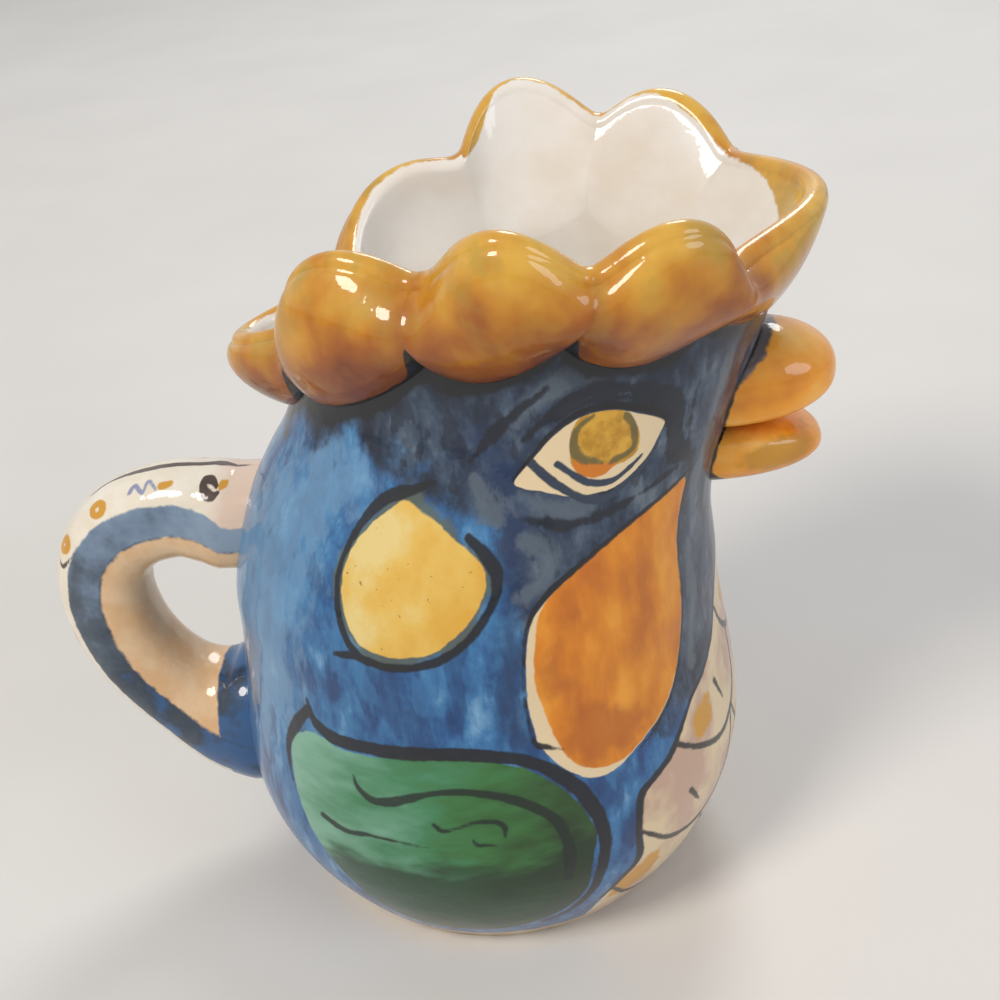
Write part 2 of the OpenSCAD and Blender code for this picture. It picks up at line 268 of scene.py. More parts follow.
def drawn(
    kind: Callable[[np.ndarray, list, float], np.ndarray],
    marks: dict[str, list],
    where: np.ndarray,
    stretch: float,
) -> dict[str, np.ndarray]:
    """Signed distances to marks of one kind, each made of one or more patches or strokes.

    Args:
        kind: Function that measures one patch or stroke.
        marks: Patches or strokes of each mark, by its name.
        where: Points, one row each.
        stretch: Factor that turns the marks' first coordinate to mm.

    Returns:
        For each mark the distance of every point to the nearest of its parts.
    """
    return {
        name: np.min([kind(where, part, stretch) for part in parts], axis=0, initial=FAR)
        for name, parts in marks.items()
    }


# Meshes


@dataclass
class Skin:
    """Closed skin of one piece: points in mm, faces by number of corners, painted marks."""

    points: np.ndarray
    faces: list[np.ndarray]
    marks: dict[str, np.ndarray] = field(default_factory=dict)
    slots: np.ndarray | None = None

    def volume(self) -> float:
        """Volume that the faces enclose, below zero where they point inwards."""
        total = 0.0
        for ring in self.faces:
            for i in range(1, ring.shape[1] - 1):
                a, b, c = (self.points[ring[:, j]] for j in (0, i, i + 1))
                total += float(np.einsum("ij,ij->i", a, np.cross(b, c)).sum()) / 6
        return total

    def lay(self, name: str, finishes: list[bpy.types.Material]) -> bpy.types.Object:
        """Makes the Blender object, in metres, with outward faces and its marks as attributes.

        Args:
            name: Name of the piece.
            finishes: Its materials, in the order of slots.

        Returns:
            The object, linked to the scene.
        """
        turn = self.volume() < 0
        rings = [ring[:, ::-1] if turn else ring for ring in self.faces]
        counts = np.concatenate([np.full(len(ring), ring.shape[1]) for ring in rings])
        corners = np.concatenate([ring.ravel() for ring in rings]).astype(np.int32)
        mesh = bpy.data.meshes.new(name)
        mesh.vertices.add(len(self.points))
        mesh.vertices.foreach_set("co", (self.points * MM).astype(np.float32).ravel())
        mesh.loops.add(len(corners))
        mesh.loops.foreach_set("vertex_index", corners)
        mesh.polygons.add(len(counts))
        mesh.polygons.foreach_set("loop_start", (np.cumsum(counts) - counts).astype(np.int32))
        mesh.polygons.foreach_set("use_smooth", np.ones(len(counts), dtype=bool))
        for finish in finishes:
            mesh.materials.append(finish)
        if self.slots is not None:
            mesh.polygons.foreach_set("material_index", self.slots.astype(np.int32))
        for mark, values in self.marks.items():
            layer = mesh.attributes.new(mark, "FLOAT", "POINT")
            layer.data.foreach_set("value", values.astype(np.float32))
        mesh.update(calc_edges=True)
        mesh.set_sharp_from_angle(angle=np.radians(SHARP_TURN))
        made = bpy.data.objects.new(name, mesh)
        bpy.context.scene.collection.objects.link(made)
        LOG.info("%s: %d points, %d faces", name, len(self.points), len(counts))
        return made

    def dress(self, name: str, node: str, slot: str, *finishes: bpy.types.Material) -> None:
        """Makes the piece and puts it in its CAD node's place, on the jug's one body.

        Args:
            name: Name of the piece.
            node: CAD node that it stands for.
            slot: Material slot of the record; not used.
            *finishes: Its materials.
        """
        piece = self.lay(name, list(finishes))
        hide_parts(node)
        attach(piece, "root")


def quads(rows: int, columns: int, wrap_rows: bool, wrap_columns: bool) -> np.ndarray:
    """Faces of a grid of points numbered row by row.

    Args:
        rows: Number of rows.
        columns: Number of points in a row.
        wrap_rows: Whether the last row meets the first.
        wrap_columns: Whether the last column meets the first.

    Returns:
        Four point numbers for each face.
    """
    i = np.arange(rows if wrap_rows else rows - 1)[:, None]
    j = np.arange(columns if wrap_columns else columns - 1)[None, :]
    k, m = (i + 1) % rows, (j + 1) % columns
    parts = [i * columns + j, k * columns + j, k * columns + m, i * columns + m]
    return np.stack([np.broadcast_to(p, (i.size, j.size)).ravel() for p in parts], -1)


def fan(first: int, count: int, tip: int, ahead: bool) -> np.ndarray:
    """Triangles from a ring of points to one point, turned ahead or back."""
    i = first + np.arange(count)
    j = first + (np.arange(count) + 1) % count
    sides = [j, i] if ahead else [i, j]
    return np.stack([*sides, np.full(count, tip)], -1)


def tube(rows: int, columns: int) -> list[np.ndarray]:
    """Faces of a tube of rings, closed by fans to the two points that follow the rings."""
    count = rows * columns
    ends = [fan(0, columns, count, True), fan(count - columns, columns, count + 1, False)]
    return [quads(rows, columns, False, True), np.vstack(ends)]


def rungs(first: int, count: int, ahead: bool) -> np.ndarray:
    """Faces that close a strip-shaped loop of an even count of points, rung by rung."""
    i = np.arange(count // 2 - 1)
    cells = np.stack([i, i + 1, count - 2 - i, count - 1 - i], -1) + first
    return cells if ahead else cells[:, ::-1]


# Forms of the clay


@dataclass(frozen=True)
class Wall:
    """Belly and head: the wall that all other pieces are luted to.

    The belly's width is a hair under the CAD's, so that the finer skin stays inside its box.
    """

    belly_d: float = 99.59
    belly_wide_z: float = 33.0
    seam_z: float = 66.0
    seam_d: float = 93.6
    thickness: float = 4.4
    floor_t: float = 6.0
    floor_round: float = 8.0
    foot_d: float = 71.0
    foot_h: float = 3.5
    head_h: float = 59.0
    head_w: float = 70.0
    head_front: float = 61.0
    head_rear: float = 27.0

    # Height, then how far rear, front and half width have gone to the head's own reach
    SHARES = np.array([
        [-0.20, 0.13, -0.04, 0.10], [0.00, 0.00, 0.00, 0.00], [0.20, 0.13, -0.04, 0.10],
        [0.34, 0.29, 0.02, 0.30], [0.46, 0.50, 0.15, 0.54], [0.58, 0.74, 0.33, 0.76],
        [0.70, 0.89, 0.52, 0.91], [0.84, 0.98, 0.74, 0.98], [1.00, 1.00, 1.00, 1.00],
    ])

    @property
    def middle(self) -> float:
        """Middle of the head's top, ahead of the belly's axis."""
        return (self.head_front - self.head_rear) / 2

    @property
    def half(self) -> float:
        """Half the length of the head's top."""
        return (self.head_front + self.head_rear) / 2

    def belly_radius(self, z: Numbers) -> np.ndarray:
        """Radius of the belly: a parabola up to its widest part, then half a wave to the seam."""
        low = mix(self.foot_d / 2, self.belly_d / 2, 1 - (1 - z / self.belly_wide_z) ** 2)
        turn = np.pi * (z - self.belly_wide_z) / (self.seam_z - self.belly_wide_z)
        high = mix(self.seam_d / 2, self.belly_d / 2, (1 + np.cos(turn)) / 2)
        return np.where(z < self.belly_wide_z, low, high)

    def belly_back(self, y: np.ndarray, z: np.ndarray) -> np.ndarray:
        """The belly's outer x behind its axis, at y and z: -(radius^2 - y^2)^(1/2)."""
        return -np.sqrt(np.clip(self.belly_radius(z) ** 2 - y**2, 0, None))

    def reaches(self, z: Numbers) -> tuple[np.ndarray, np.ndarray, np.ndarray]:
        """Rear, front and half width of the head at a height, read from SHARES."""
        key = (z - self.seam_z) / self.head_h
        ends = (self.head_rear, self.head_front, self.head_w / 2)
        return tuple(mix(self.seam_d / 2, end, smooth(self.SHARES, i + 1, key)) for i, end in enumerate(ends))

    def point(self, angle: np.ndarray, z: np.ndarray, inset: float = 0.0) -> np.ndarray:
        """Point of the head: an ellipse of the reaches at z, set in by the inset.

        Args:
            angle: Angle round the head, in radians.
            z: Height above the table.
            inset: How far it lies inside the outer face.

        Returns:
            The points.
        """
        rear, front, half = self.reaches(z)
        x = (front - rear) / 2 + ((front + rear) / 2 - inset) * np.cos(angle)
        return np.stack([x, (half - inset) * np.sin(angle), np.broadcast_to(z, x.shape)], -1)

    def face(self, y: Numbers, z: Numbers, side: int) -> np.ndarray:
        """The head's outer x ahead of (side 1) or behind (side -1) its middle, at y and z."""
        rear, front, half = self.reaches(z)
        return (front - rear) / 2 + side * (front + rear) / 2 * np.sqrt(np.clip(1 - (y / half) ** 2, 0, None))


@dataclass(frozen=True)
class CombForm:
    """The scalloped rim: eight lobes between notches, the spout's first and the tail's fifth."""

    wall: Wall
    comb_h: float = 13.5
    flare: float = 7.0
    crown: float = 9.0
    puff: float = 5.0
    valley_puff: float = 5.5
    dip: float = 4.5
    spout_reach: float = 14.0
    spout_rise: float = 2.0
    spout_dip: float = 4.5
    tail_reach: float = 16.0
    tail_drop: float = 5.0
    tail_dip: float = 9.0

    NAMES = (
        "spout_lip", "comb_left_front", "comb_left_middle", "comb_left_rear",
        "tail_lobe", "comb_right_rear", "comb_right_middle", "comb_right_front",
    )
    # Angle of the valley, place on the rim by half length, half width and comb_h, valley's height
    # and share of the valley's swelling
    NOTCHES = np.array([
        [-49, 0.76, -0.71, 0.63, 0.97, 1], [45, 0.82, 0.74, 0.83, 0.94, 1], [78, 0.27, 1.06, 1.22, 1.00, 1],
        [108, -0.34, 0.86, 0.97, 0.97, 1], [150, -0.82, 0.42, -0.25, 0.78, 0.5],
        [207, -0.91, -0.44, -0.10, 0.78, 0.5], [250, -0.35, -0.86, 0.89, 0.96, 1],
        [278, 0.26, -1.06, 1.00, 1.00, 1], [311, 0.76, -0.71, 0.63, 0.97, 1],
    ])
    # Each lobe's share of the common reach, rise, swelling and dip
    REACH = (1, 0.55, 1, 0.75, 1, 0.65, 1, 0.7)
    RISE = (1, 0.72, 1, 0.78, -1, 1.15, 0.97, 0.92)
    PUFF = (0.3, 0.9, 0.9, 1.2, 0.9, 1, 0.9, 0.9)
    DIP = (1, 1.1, 1, 1, 1, 1, 1, 1.1)
    # Powers by which a lobe leans to its first or its last notch
    FIRST = (1, 1, 1, 1, 1, 0.72, 1.2, 1)
    LAST = (1, 1, 0.85, 0.7, 1, 1, 1, 0.8)
    # Softness of the scallops' feet, then their fullness: in plan for the spout and for a lobe, in
    # height, along the seam, across and up the outer swelling, and up the inner one
    SOFT = 0.3
    SPOUT_PLAN, LOBE_PLAN, LOBE_HEIGHT, SEAM_WAVE = 0.8, 0.35, 0.35, 0.7
    CHEEK, CHEEK_UP, HOLLOW_UP = 0.3, 0.7, 1.3
    # Share of the swelling that the inside has, and the power by which the inside flares late
    HOLLOW, LATE_FLARE = 0.2, 1.6

    def own(self, k: int, spout: float, tail: float, lobe: float) -> float:
        """The size that lobe k follows: the spout's, the tail's or the common one."""
        return {0: spout, 4: tail}.get(k, lobe)

    def notch(self, i: int) -> np.ndarray:
        """Notch i as a point of the rim."""
        row, wall = self.NOTCHES[i], self.wall
        x, y = wall.middle + wall.half * row[1], wall.head_w / 2 * row[2]
        return np.array([x, y, wall.seam_z + wall.head_h + self.comb_h * row[3]])

    def chord(self, k: int, s: np.ndarray) -> np.ndarray:
        """Points at shares s of the straight way between the notches of lobe k."""
        return mix(self.notch(k), self.notch(k + 1), s[:, None])

    def seam(self, k: int, s: np.ndarray) -> np.ndarray:
        """Height of the seam under lobe k: between its valleys, less the dip's scallop."""
        hang = self.DIP[k] * self.own(k, self.spout_dip, self.tail_dip, self.dip)
        share = mix(self.NOTCHES[k][4], self.NOTCHES[k + 1][4], s)
        return self.wall.seam_z + self.wall.head_h * share - hang * scallop(s, self.SEAM_WAVE)

    def angle(self, k: int, s: np.ndarray) -> np.ndarray:
        """Angle in radians on the wall under lobe k."""
        return np.radians(mix(self.NOTCHES[k][0], self.NOTCHES[k + 1][0], s))

    def way(self, k: int) -> np.ndarray:
        """Level way that lobe k swings out: ahead, behind or square to its chord."""
        chord = self.notch(k + 1) - self.notch(k)
        square = np.array([chord[1], -chord[0], 0]) / np.hypot(chord[0], chord[1])
        return {0: np.array([1.0, 0, 0]), 4: np.array([-1.0, 0, 0])}.get(k, square)

    def outward(self, k: int, s: np.ndarray) -> np.ndarray:
        """Level direction from the head's middle to the chord of lobe k."""
        flat = (self.chord(k, s) - [self.wall.middle, 0, 0]) * [1, 1, 0]
        return flat / np.linalg.norm(flat, axis=1, keepdims=True)

    def rim(self, k: int, s: np.ndarray) -> np.ndarray:
        """Middle of the rim: the chord, swung out and raised by scallops, less the lip's radius."""
        reach = self.REACH[k] * self.own(k, self.spout_reach, self.tail_reach, self.flare)
        rise = self.RISE[k] * self.own(k, self.spout_rise, self.tail_drop, self.crown)
        leaned = 1 - (1 - s ** self.FIRST[k]) ** self.LAST[k]
        out = reach * scallop(leaned, self.own(k, self.SPOUT_PLAN, self.LOBE_PLAN, self.LOBE_PLAN), self.SOFT)
        up = rise * scallop(leaned, self.LOBE_HEIGHT, self.SOFT) - self.wall.thickness / 2
        return self.chord(k, s) + self.way(k) * out[:, None] + np.array([0, 0, 1.0]) * up[:, None]

    def loops(self, k: int, s: np.ndarray, rows: int, lip: int) -> np.ndarray:
        """Loops round the wall of lobe k: up the inside, over the round lip, down the outside.

        Each side is the way from seam to rim plus a swelling, the scallop across the lobe times
        the scallop up it; the inside leaves its seam upright and flares late, by a power of the
        height. The lip is half a circle of the wall's thickness.

        Args:
            k: Number of the lobe.
            s: Shares across it.
            rows: Steps up each side.
            lip: Steps over the lip.

        Returns:
            Points by station and place in the loop.
        """
        wall, out, rim = self.wall, self.outward(k, s)[:, None], self.rim(k, s)[:, None]
        angle, z, r = self.angle(k, s), self.seam(k, s), self.wall.thickness / 2
        puff = self.PUFF[k] * self.puff
        u = np.linspace(0, 1, rows + 1)[None, :, None]
        flare = np.concatenate([u**self.LATE_FLARE, u**self.LATE_FLARE, u], axis=2)
        hollow = self.HOLLOW * puff * scallop(s, 1, self.SOFT)
        valley = self.valley_puff * mix(self.NOTCHES[k][5], self.NOTCHES[k + 1][5], s)
        cheek = mix(valley, puff, scallop(s, self.CHEEK, self.SOFT))
        inside = mix(wall.point(angle, z, wall.thickness)[:, None], rim - out * r, flare)
        inside = inside + out * hollow[:, None, None] * scallop(u, self.HOLLOW_UP)
        outside = mix(wall.point(angle, z)[:, None], rim + out * r, u)
        outside = outside + out * cheek[:, None, None] * scallop(u, self.CHEEK_UP)
        turn = (np.pi * np.arange(1, lip) / lip)[None, :, None]
        over = rim + np.array([0, 0, r]) * np.sin(turn) - out * r * np.cos(turn)
        return np.concatenate([inside, over, outside[:, ::-1]], axis=1)


# Finishes


class Blend(Enum):
    """How paint lies on what is under it: opaque, or thin so that the colours multiply."""

    COVER = "MIX"
    STAIN = "MULTIPLY"


class Palette:
    """Node tree of one finish, with the few moves that the painter makes on it."""

    def __init__(self, name: str) -> None:
        """Starts an empty tree.

        Args:
            name: Name of the material.
        """
        self.material = bpy.data.materials.new(name)
        self.material.use_nodes = True
        self.tree = self.material.node_tree
        self.tree.nodes.clear()
        self.place = self.add("ShaderNodeTexCoord").outputs["Object"]

    def add(self, kind: str, inputs: dict | None = None, **settings) -> bpy.types.Node:
        """Adds a node with its settings, and fills or links its inputs.

        Args:
            kind: Blender's name for the node.
            inputs: Values or sockets by input name or number.
            **settings: Properties of the node.

        Returns:
            The node.
        """
        node = self.tree.nodes.new(kind)
        for key, value in settings.items():
            setattr(node, key, value)
        for key, value in (inputs or {}).items():
            if isinstance(value, Socket):
                self.tree.links.new(value, node.inputs[key])
            else:
                node.inputs[key].default_value = value
        return node

    def mark(self, name: str) -> Socket:
        """A painted mark's distance in mm."""
        return self.add("ShaderNodeAttribute", attribute_name=name).outputs["Fac"]

    def sum(self, kind: str, *values: Socket | float) -> Socket:
        """One step of arithmetic on sockets or numbers."""
        return self.add("ShaderNodeMath", dict(enumerate(values)), operation=kind).outputs[0]

    def weigh(self, *parts: tuple[Socket, float]) -> Socket:
        """Sum of several values, each times its weight."""
        total, *more = (self.sum("MULTIPLY", value, weight) for value, weight in parts)
        for part in more:
            total = self.sum("ADD", total, part)
        return total

    def noise(self, size_mm: float | Spot, detail: float = 3.0, rough: float = 0.55) -> Socket:
        """Cloudy noise whose blots have a real size.

        Args:
            size_mm: Length of a blot along X, Y and Z, or one length for all three.
            detail: Layers of finer blots.
            rough: Strength of the finer blots.

        Returns:
            Noise about one half.
        """
        sizes = size_mm if isinstance(size_mm, tuple) else (size_mm,) * 3
        scale = tuple(1 / (s * MM) for s in sizes)
        spread = self.add("ShaderNodeMapping", {"Vector": self.place, "Scale": scale})
        inputs = {"Vector": spread.outputs[0], "Scale": 1.0, "Detail": detail, "Roughness": rough}
        return self.add("ShaderNodeTexNoise", inputs).outputs[0]

    def ramp(self, value: Socket, places: tuple[float, ...], tones: Tones) -> Socket:
        """Colour along a value.

        Args:
            value: What to read.
            places: Places from 0 to 1.
            tones: Colour at each place.

        Returns:
            The colour.
        """
        made = self.add("ShaderNodeValToRGB", {"Fac": value})
        bar = made.color_ramp.elements
        while len(bar) < len(places):
            bar.new(0.5)
        for element, place, code in zip(bar, places, tones):
            element.position = place
            element.color = colour(code)
        return made.outputs["Color"]

    def edge(
        self,
        mark: Socket | str,
        wobble: Socket | None = None,
        sway: float = 0.5,
        soft: float = 0.15,
        at: float = 0.0,
    ) -> Socket:
        """Mask that is 1 inside a mark: its distance, shaken by noise, stepped over a soft edge.

        Args:
            mark: Name of the mark, or its signed distance in mm.
            wobble: Noise about one half that shakes the edge.
            sway: How far the noise moves the edge, in mm.
            soft: Half the width of the edge, in mm.
            at: Distance at which the edge lies.

        Returns:
            The mask.
        """
        distance = self.mark(mark) if isinstance(mark, str) else mark
        if wobble is not None:
            shift = self.add("ShaderNodeMath", {0: wobble, 1: 2 * sway, 2: -sway}, operation="MULTIPLY_ADD")
            distance = self.sum("ADD", distance, shift.outputs[0])
        span = {"From Min": at - soft, "From Max": at + soft, "To Min": 1.0, "To Max": 0.0}
        made = self.add("ShaderNodeMapRange", {"Value": distance, **span}, interpolation_type="SMOOTHSTEP")
        return made.outputs[0]

    def over(
        self,
        under: Socket,
        paint: Socket | str,
        mask: Socket,
        strength: float = 1.0,
        blend: Blend = Blend.COVER,
    ) -> Socket:
        """Lays paint over what is under it.

        Args:
            under: Colour below.
            paint: Colour of the paint, as a hex value or a socket.
            mask: Where it lies, from 0 to 1.
            strength: How strong it is there.
            blend: How it lies on the colour below.

        Returns:
            The colour above.
        """
        top = colour(paint) if isinstance(paint, str) else paint
        share = mask if strength == 1.0 else self.sum("MULTIPLY", mask, strength)
        settings = {"data_type": "RGBA", "blend_type": blend.value, "clamp_factor": True}
        return self.add("ShaderNodeMix", {0: share, 6: under, 7: top}, **settings).outputs[2]

    def glaze(
        self, base: Socket, roughness: float, bump: Socket, bump_mm: float, coat: float
    ) -> bpy.types.Material:
        """Ends the tree in glazed or bare clay.

        Args:
            base: Colour of the clay and paint.
            roughness: Roughness under the glaze.
            bump: Height of the surface's waves.
            bump_mm: Height that a bump of 1 stands for.
            coat: Weight of the clear coat.

        Returns:
            The finished material.
        """
        waves = {"Strength": 1.0, "Distance": bump_mm * MM, "Height": bump}
        wave = self.add("ShaderNodeBump", waves).outputs[0]
        shader = self.add(
            "ShaderNodeBsdfPrincipled",
            {
                "Base Color": base, "Roughness": roughness, "IOR": 1.5, "Normal": wave,
                "Specular IOR Level": 0.5 - 0.4 * coat,
                "Coat Weight": coat, "Coat Roughness": 0.05, "Coat IOR": 1.5, "Coat Normal": wave,
            },
        )
        self.add("ShaderNodeOutputMaterial", {"Surface": shader.outputs[0]})
        return self.material


@dataclass(frozen=True)
class WhiteGlaze:
    """Opaque white tin glaze inside the jug: bright, glassy, a little warmer in faint clouds."""

    name: str = "white_tin_glaze"
    whites: Tones = ("#F1EDE6", "#E6DACA")

    def tones(self, palette: Palette) -> Socket:
        """White with faint warm clouds about 20 mm across."""
        return palette.ramp(palette.noise(20), (0.42, 0.75), self.whites)

    def build(self) -> bpy.types.Material:
        """Makes the material."""
        palette = Palette(self.name)
        return palette.glaze(self.tones(palette), 0.3, palette.noise(9, 2), 0.25, 1.0)


@dataclass(frozen=True)
class FeatherGlaze:
    """Majolica painting under clear gloss: watery cobalt washes, ink outlines, flat patches."""

    name: str = "painted_cobalt_glaze"
    blues: Tones = ("#14396B", "#20548A", "#3976A9", "#7CA9CC")
    slates: Tones = ("#121C2E", "#23344B", "#3F5064", "#717C84")
    greens: Tones = ("#27491F", "#37703A", "#3E8057", "#7DB09A")
    oranges: Tones = ("#C36C0B", "#DC8410", "#EC9D29")
    yellows: Tones = ("#DDAA40", "#E2BA58", "#E4CD84")
    irises: Tones = ("#B4831A", "#D6A437")
    ink: str = "#101218"
    navy: str = "#1A3157"
    dry_slate: str = "#66747F"
    brow: str = "#0E1522"
    wing_shade: str = "#122A19"
    vein: str = "#10211A"
    cream: str = "#E3CDA6"
    blush: str = "#C9A791"
    ochre: str = "#D3982F"
    burnt: str = "#AF5B10"
    ear_rim: str = "#56604F"
    speck: str = "#8A6A32"
    iris_low: str = "#CF7717"
    iris_ring: str = "#565433"
    lid: str = "#2C394B"
    clay: str = "#C9B79C"

    def body(self, p: Palette, blots: Socket) -> Socket:
        """Blue washes pulled down the wall, slate across the face, pale where the brush ran dry.

        Args:
            p: Tree to work on.
            blots: Noise that moves soft edges.

        Returns:
            The colour.
        """
        # Strokes of a flat brush run down the wall, about 5 mm wide and 16 mm long
        strokes = p.noise((5, 5, 16), 4, 0.6)
        blue = p.ramp(p.weigh((strokes, 0.55), (blots, 0.45)), (0.37, 0.46, 0.55, 0.67), self.blues)
        # Single strokes on top, with crisp edges where they overlap
        blue = p.over(blue, self.blues[0], p.edge(p.noise((6, 6, 16), 3, 0.45), soft=0.03, at=0.44), 0.55)
        blue = p.over(blue, self.blues[2], p.edge(p.noise((5, 5, 12), 3, 0.45), soft=0.03, at=0.42), 0.5)
        blue = p.over(blue, self.blues[3], p.edge("pale", strokes, 24, 4), 0.5)
        face = p.weigh((p.noise((4, 4, 7), 4, 0.62), 0.5), (blots, 0.5))
        slate = p.ramp(face, (0.38, 0.47, 0.56, 0.70), self.slates)
        slate = p.over(slate, self.slates[0], p.edge(p.noise((3, 3, 8), 3, 0.5), soft=0.025, at=0.42), 0.6)
        base = p.over(blue, slate, p.edge("slate", blots, 16, 4))
        base = p.over(base, self.navy, p.edge("navy", blots, 6, 2.5), 0.7)
        base = p.over(base, self.dry_slate, p.edge("pale_strokes", face, 8, 1.0), 0.55)
        return p.over(base, self.brow, p.edge("dark_strokes", face, 3, 0.4, 0.15), 0.92)

    def wing(self, p: Palette, blots: Socket) -> Socket:
        """Green leaf, pale and bluish behind, olive ahead, with dark veins, nearly black below: part paint,
        part painted shade.

        Args:
            p: Tree to work on.
            blots: Noise that moves soft edges.

        Returns:
            The colour.
        """
        leaf = p.noise((15, 15, 6), 3, 0.5)
        tone = p.sum("SUBTRACT", p.weigh((p.mark("turn"), 0.72), (leaf, 0.8)), 0.4)
        green = p.ramp(tone, (0.05, 0.25, 0.42, 0.72), self.greens)
        # Nearly black towards the foot: partly dark paint, partly painted shade
        green = p.over(green, self.wing_shade, p.edge("wing_low", leaf, 9, 3.0, 0.6), 0.8)
        return p.over(green, self.vein, p.edge("veins", blots, 0.8, 0.25, 0.1), 0.94)

    def face(self, p: Palette, base: Socket, fine: Socket, blots: Socket) -> Socket:
        """Wattle, ear patch and eye, laid over the washes.

        Args:
            p: Tree to work on.
            base: Colour of the washes.
            fine: Noise that moves crisp edges.
            blots: Noise that moves soft edges.

        Returns:
            The colour.
        """
        # Wattle: tan left bare along its rear edge, orange inside with burnt stains
        base = p.over(base, self.cream, p.edge("wattle", fine, 0.3))
        orange = p.ramp(p.noise((6, 6, 13), 4, 0.5), (0.32, 0.5, 0.68), self.oranges)
        orange = p.over(orange, self.burnt, p.edge("wattle_stain", blots, 7, 2.5), 0.7)
        base = p.over(base, orange, p.edge("wattle_fill", fine, 0.4, 0.2, 0.4))
        # Ear patch, paler behind, with specks where the brush was dry
        base = p.over(base, self.ear_rim, p.edge("ear", blots, 3, 0.6, 1.3), 0.8)
        depth = p.sum("SUBTRACT", p.weigh((p.mark("turn"), 0.9), (blots, 1.0)), 0.5)
        yellow = p.ramp(depth, (0.3, 0.52, 0.72), self.yellows)
        yellow = p.over(yellow, self.speck, p.edge(p.noise(1.1, 2), soft=0.03, at=0.27), 0.8)
        base = p.over(base, yellow, p.edge("ear", fine, 0.4, 0.2))
        # Eye: bare tan, an ochre iris ringed in olive, orange below, and two slate lid lines
        base = p.over(base, self.cream, p.edge("eye", fine, 0.25, 0.12))
        iris = p.ramp(p.noise(2.5), (0.35, 0.6), self.irises)
        iris = p.over(iris, self.iris_low, p.edge("iris_low", fine, 0.6, 0.3))
        iris = p.over(iris, self.iris_ring, p.edge("iris_ring", fine, 0.5, 0.25), 0.85)
        base = p.over(base, iris, p.edge("iris", fine, 0.3))
        return p.over(base, self.lid, p.edge("lids", fine, 0.25))

    def build(self) -> bpy.types.Material:
        """Makes the material, layer by layer as the painter does."""
        p = Palette(self.name)
        fine, blots = p.noise(BRISTLE), p.noise((8, 8, 10), 4, 0.6)
        base = self.body(p, blots)
        # Cream and rosy feathers on the breast, with dabs of ochre
        breast = p.ramp(p.noise((11, 11, 13)), (0.42, 0.58), (self.cream, self.blush))
        breast = p.over(breast, self.ochre, p.edge("dab", fine, 1.6, 0.6))
        base = p.over(base, breast, p.edge("breast", fine, 0.4))
        base = p.over(base, self.wing(p, blots), p.edge("wing", fine, 0.4, 0.2))
        base = self.face(p, base, fine, blots)
        # Ink last of all: a painted shade below the comb's overhang, the ink line along its seam, then the
        # outlines
        base = p.over(base, self.slates[0], p.edge("under_comb", blots, 9, 2.5, 2.5), 0.6)
        base = p.over(base, self.ink, p.edge("under_comb", blots, 3.0, 0.6, 0.2), 0.95)
        base = p.over(base, self.ink, p.edge("ink", fine, 0.4, 0.25, 0.05), 0.97)
        # Bare clay shows under the glaze at the foot
        base = p.over(base, self.clay, p.edge("foot", blots, 1.2, 0.3))
        return p.glaze(base, 0.45, p.noise(7), 0.2, 0.65)


@dataclass(frozen=True)
class CombGlaze:
    """Iron-orange paint under clear gloss: rust below and ochre on the crowns, partly its own tone and partly
    painted shade, white from the lip inwards.
    """

    name: str = "comb_orange_glaze"
    tones: Tones = ("#7C3A06", "#A2590A", "#C58218", "#DDAC3F")
    olive: str = "#B0953C"
    ink: str = "#14141A"
    white: WhiteGlaze = WhiteGlaze()

    def build(self) -> bpy.types.Material:
        """Makes the material."""
        p = Palette(self.name)
        fine, blots, crown = p.noise(BRISTLE), p.noise((13, 13, 15), 3, 0.45), p.mark("crown")
        # Lighter up to the crowns and darker down to the seam: partly the paint's own tone, partly painted
        # shade
        wash = p.weigh((blots, 0.65), (p.noise((6, 6, 9), 3, 0.5), 0.25), (crown, 0.42))
        base = p.ramp(wash, (0.45, 0.59, 0.72, 0.88), self.tones)
        # Thin olive tint where the paint was wiped from the crowns
        wiped = p.edge(p.noise((7, 7, 9)), soft=0.08, at=0.45)
        tint = p.sum("MULTIPLY", wiped, p.sum("MULTIPLY", crown, 0.6))
        base = p.over(base, self.olive, tint)
        base = p.over(base, self.ink, p.edge("ink", fine, 0.5, 0.25))
        base = p.over(base, self.white.tones(p), p.edge("inside", fine, 0.8, 0.35))
        return p.glaze(base, 0.4, p.noise(6), 0.2, 0.8)


@dataclass(frozen=True)
class BeakGlaze:
    """Orange paint under clear gloss, with painted shade along the mouth's crease, slate where the face's
    paint runs on to it.
    """

    name: str = "beak_orange_glaze"
    tones: Tones = ("#E28813", "#F8A325", "#FCC05A")
    # Painted shade along the crease of the mouth
    burnt: str = "#B4641E"
    olive: str = "#A9842C"
    slate: str = "#3C4C5E"
    ink: str = "#2B2418"

    def build(self) -> bpy.types.Material:
        """Makes the material."""
        p = Palette(self.name)
        fine = p.noise(BRISTLE)
        base = p.ramp(p.noise((14, 9, 9), 3, 0.5), (0.32, 0.5, 0.68), self.tones)
        # Painted shade that darkens the orange towards the mouth's crease
        base = p.over(base, self.burnt, p.edge("mouth", fine, 1.0, 1.2, 1.0), 0.5, Blend.STAIN)
        base = p.over(base, self.olive, p.edge("tongue", fine, 1.0, 0.8), 0.6)
        base = p.over(base, self.slate, p.edge("smear", fine, 1.2, 0.5), 0.9)
        base = p.over(base, self.ink, p.edge("root", fine, 0.5, 0.25, 0.4))
        return p.glaze(base, 0.38, p.noise(6), 0.2, 0.8)


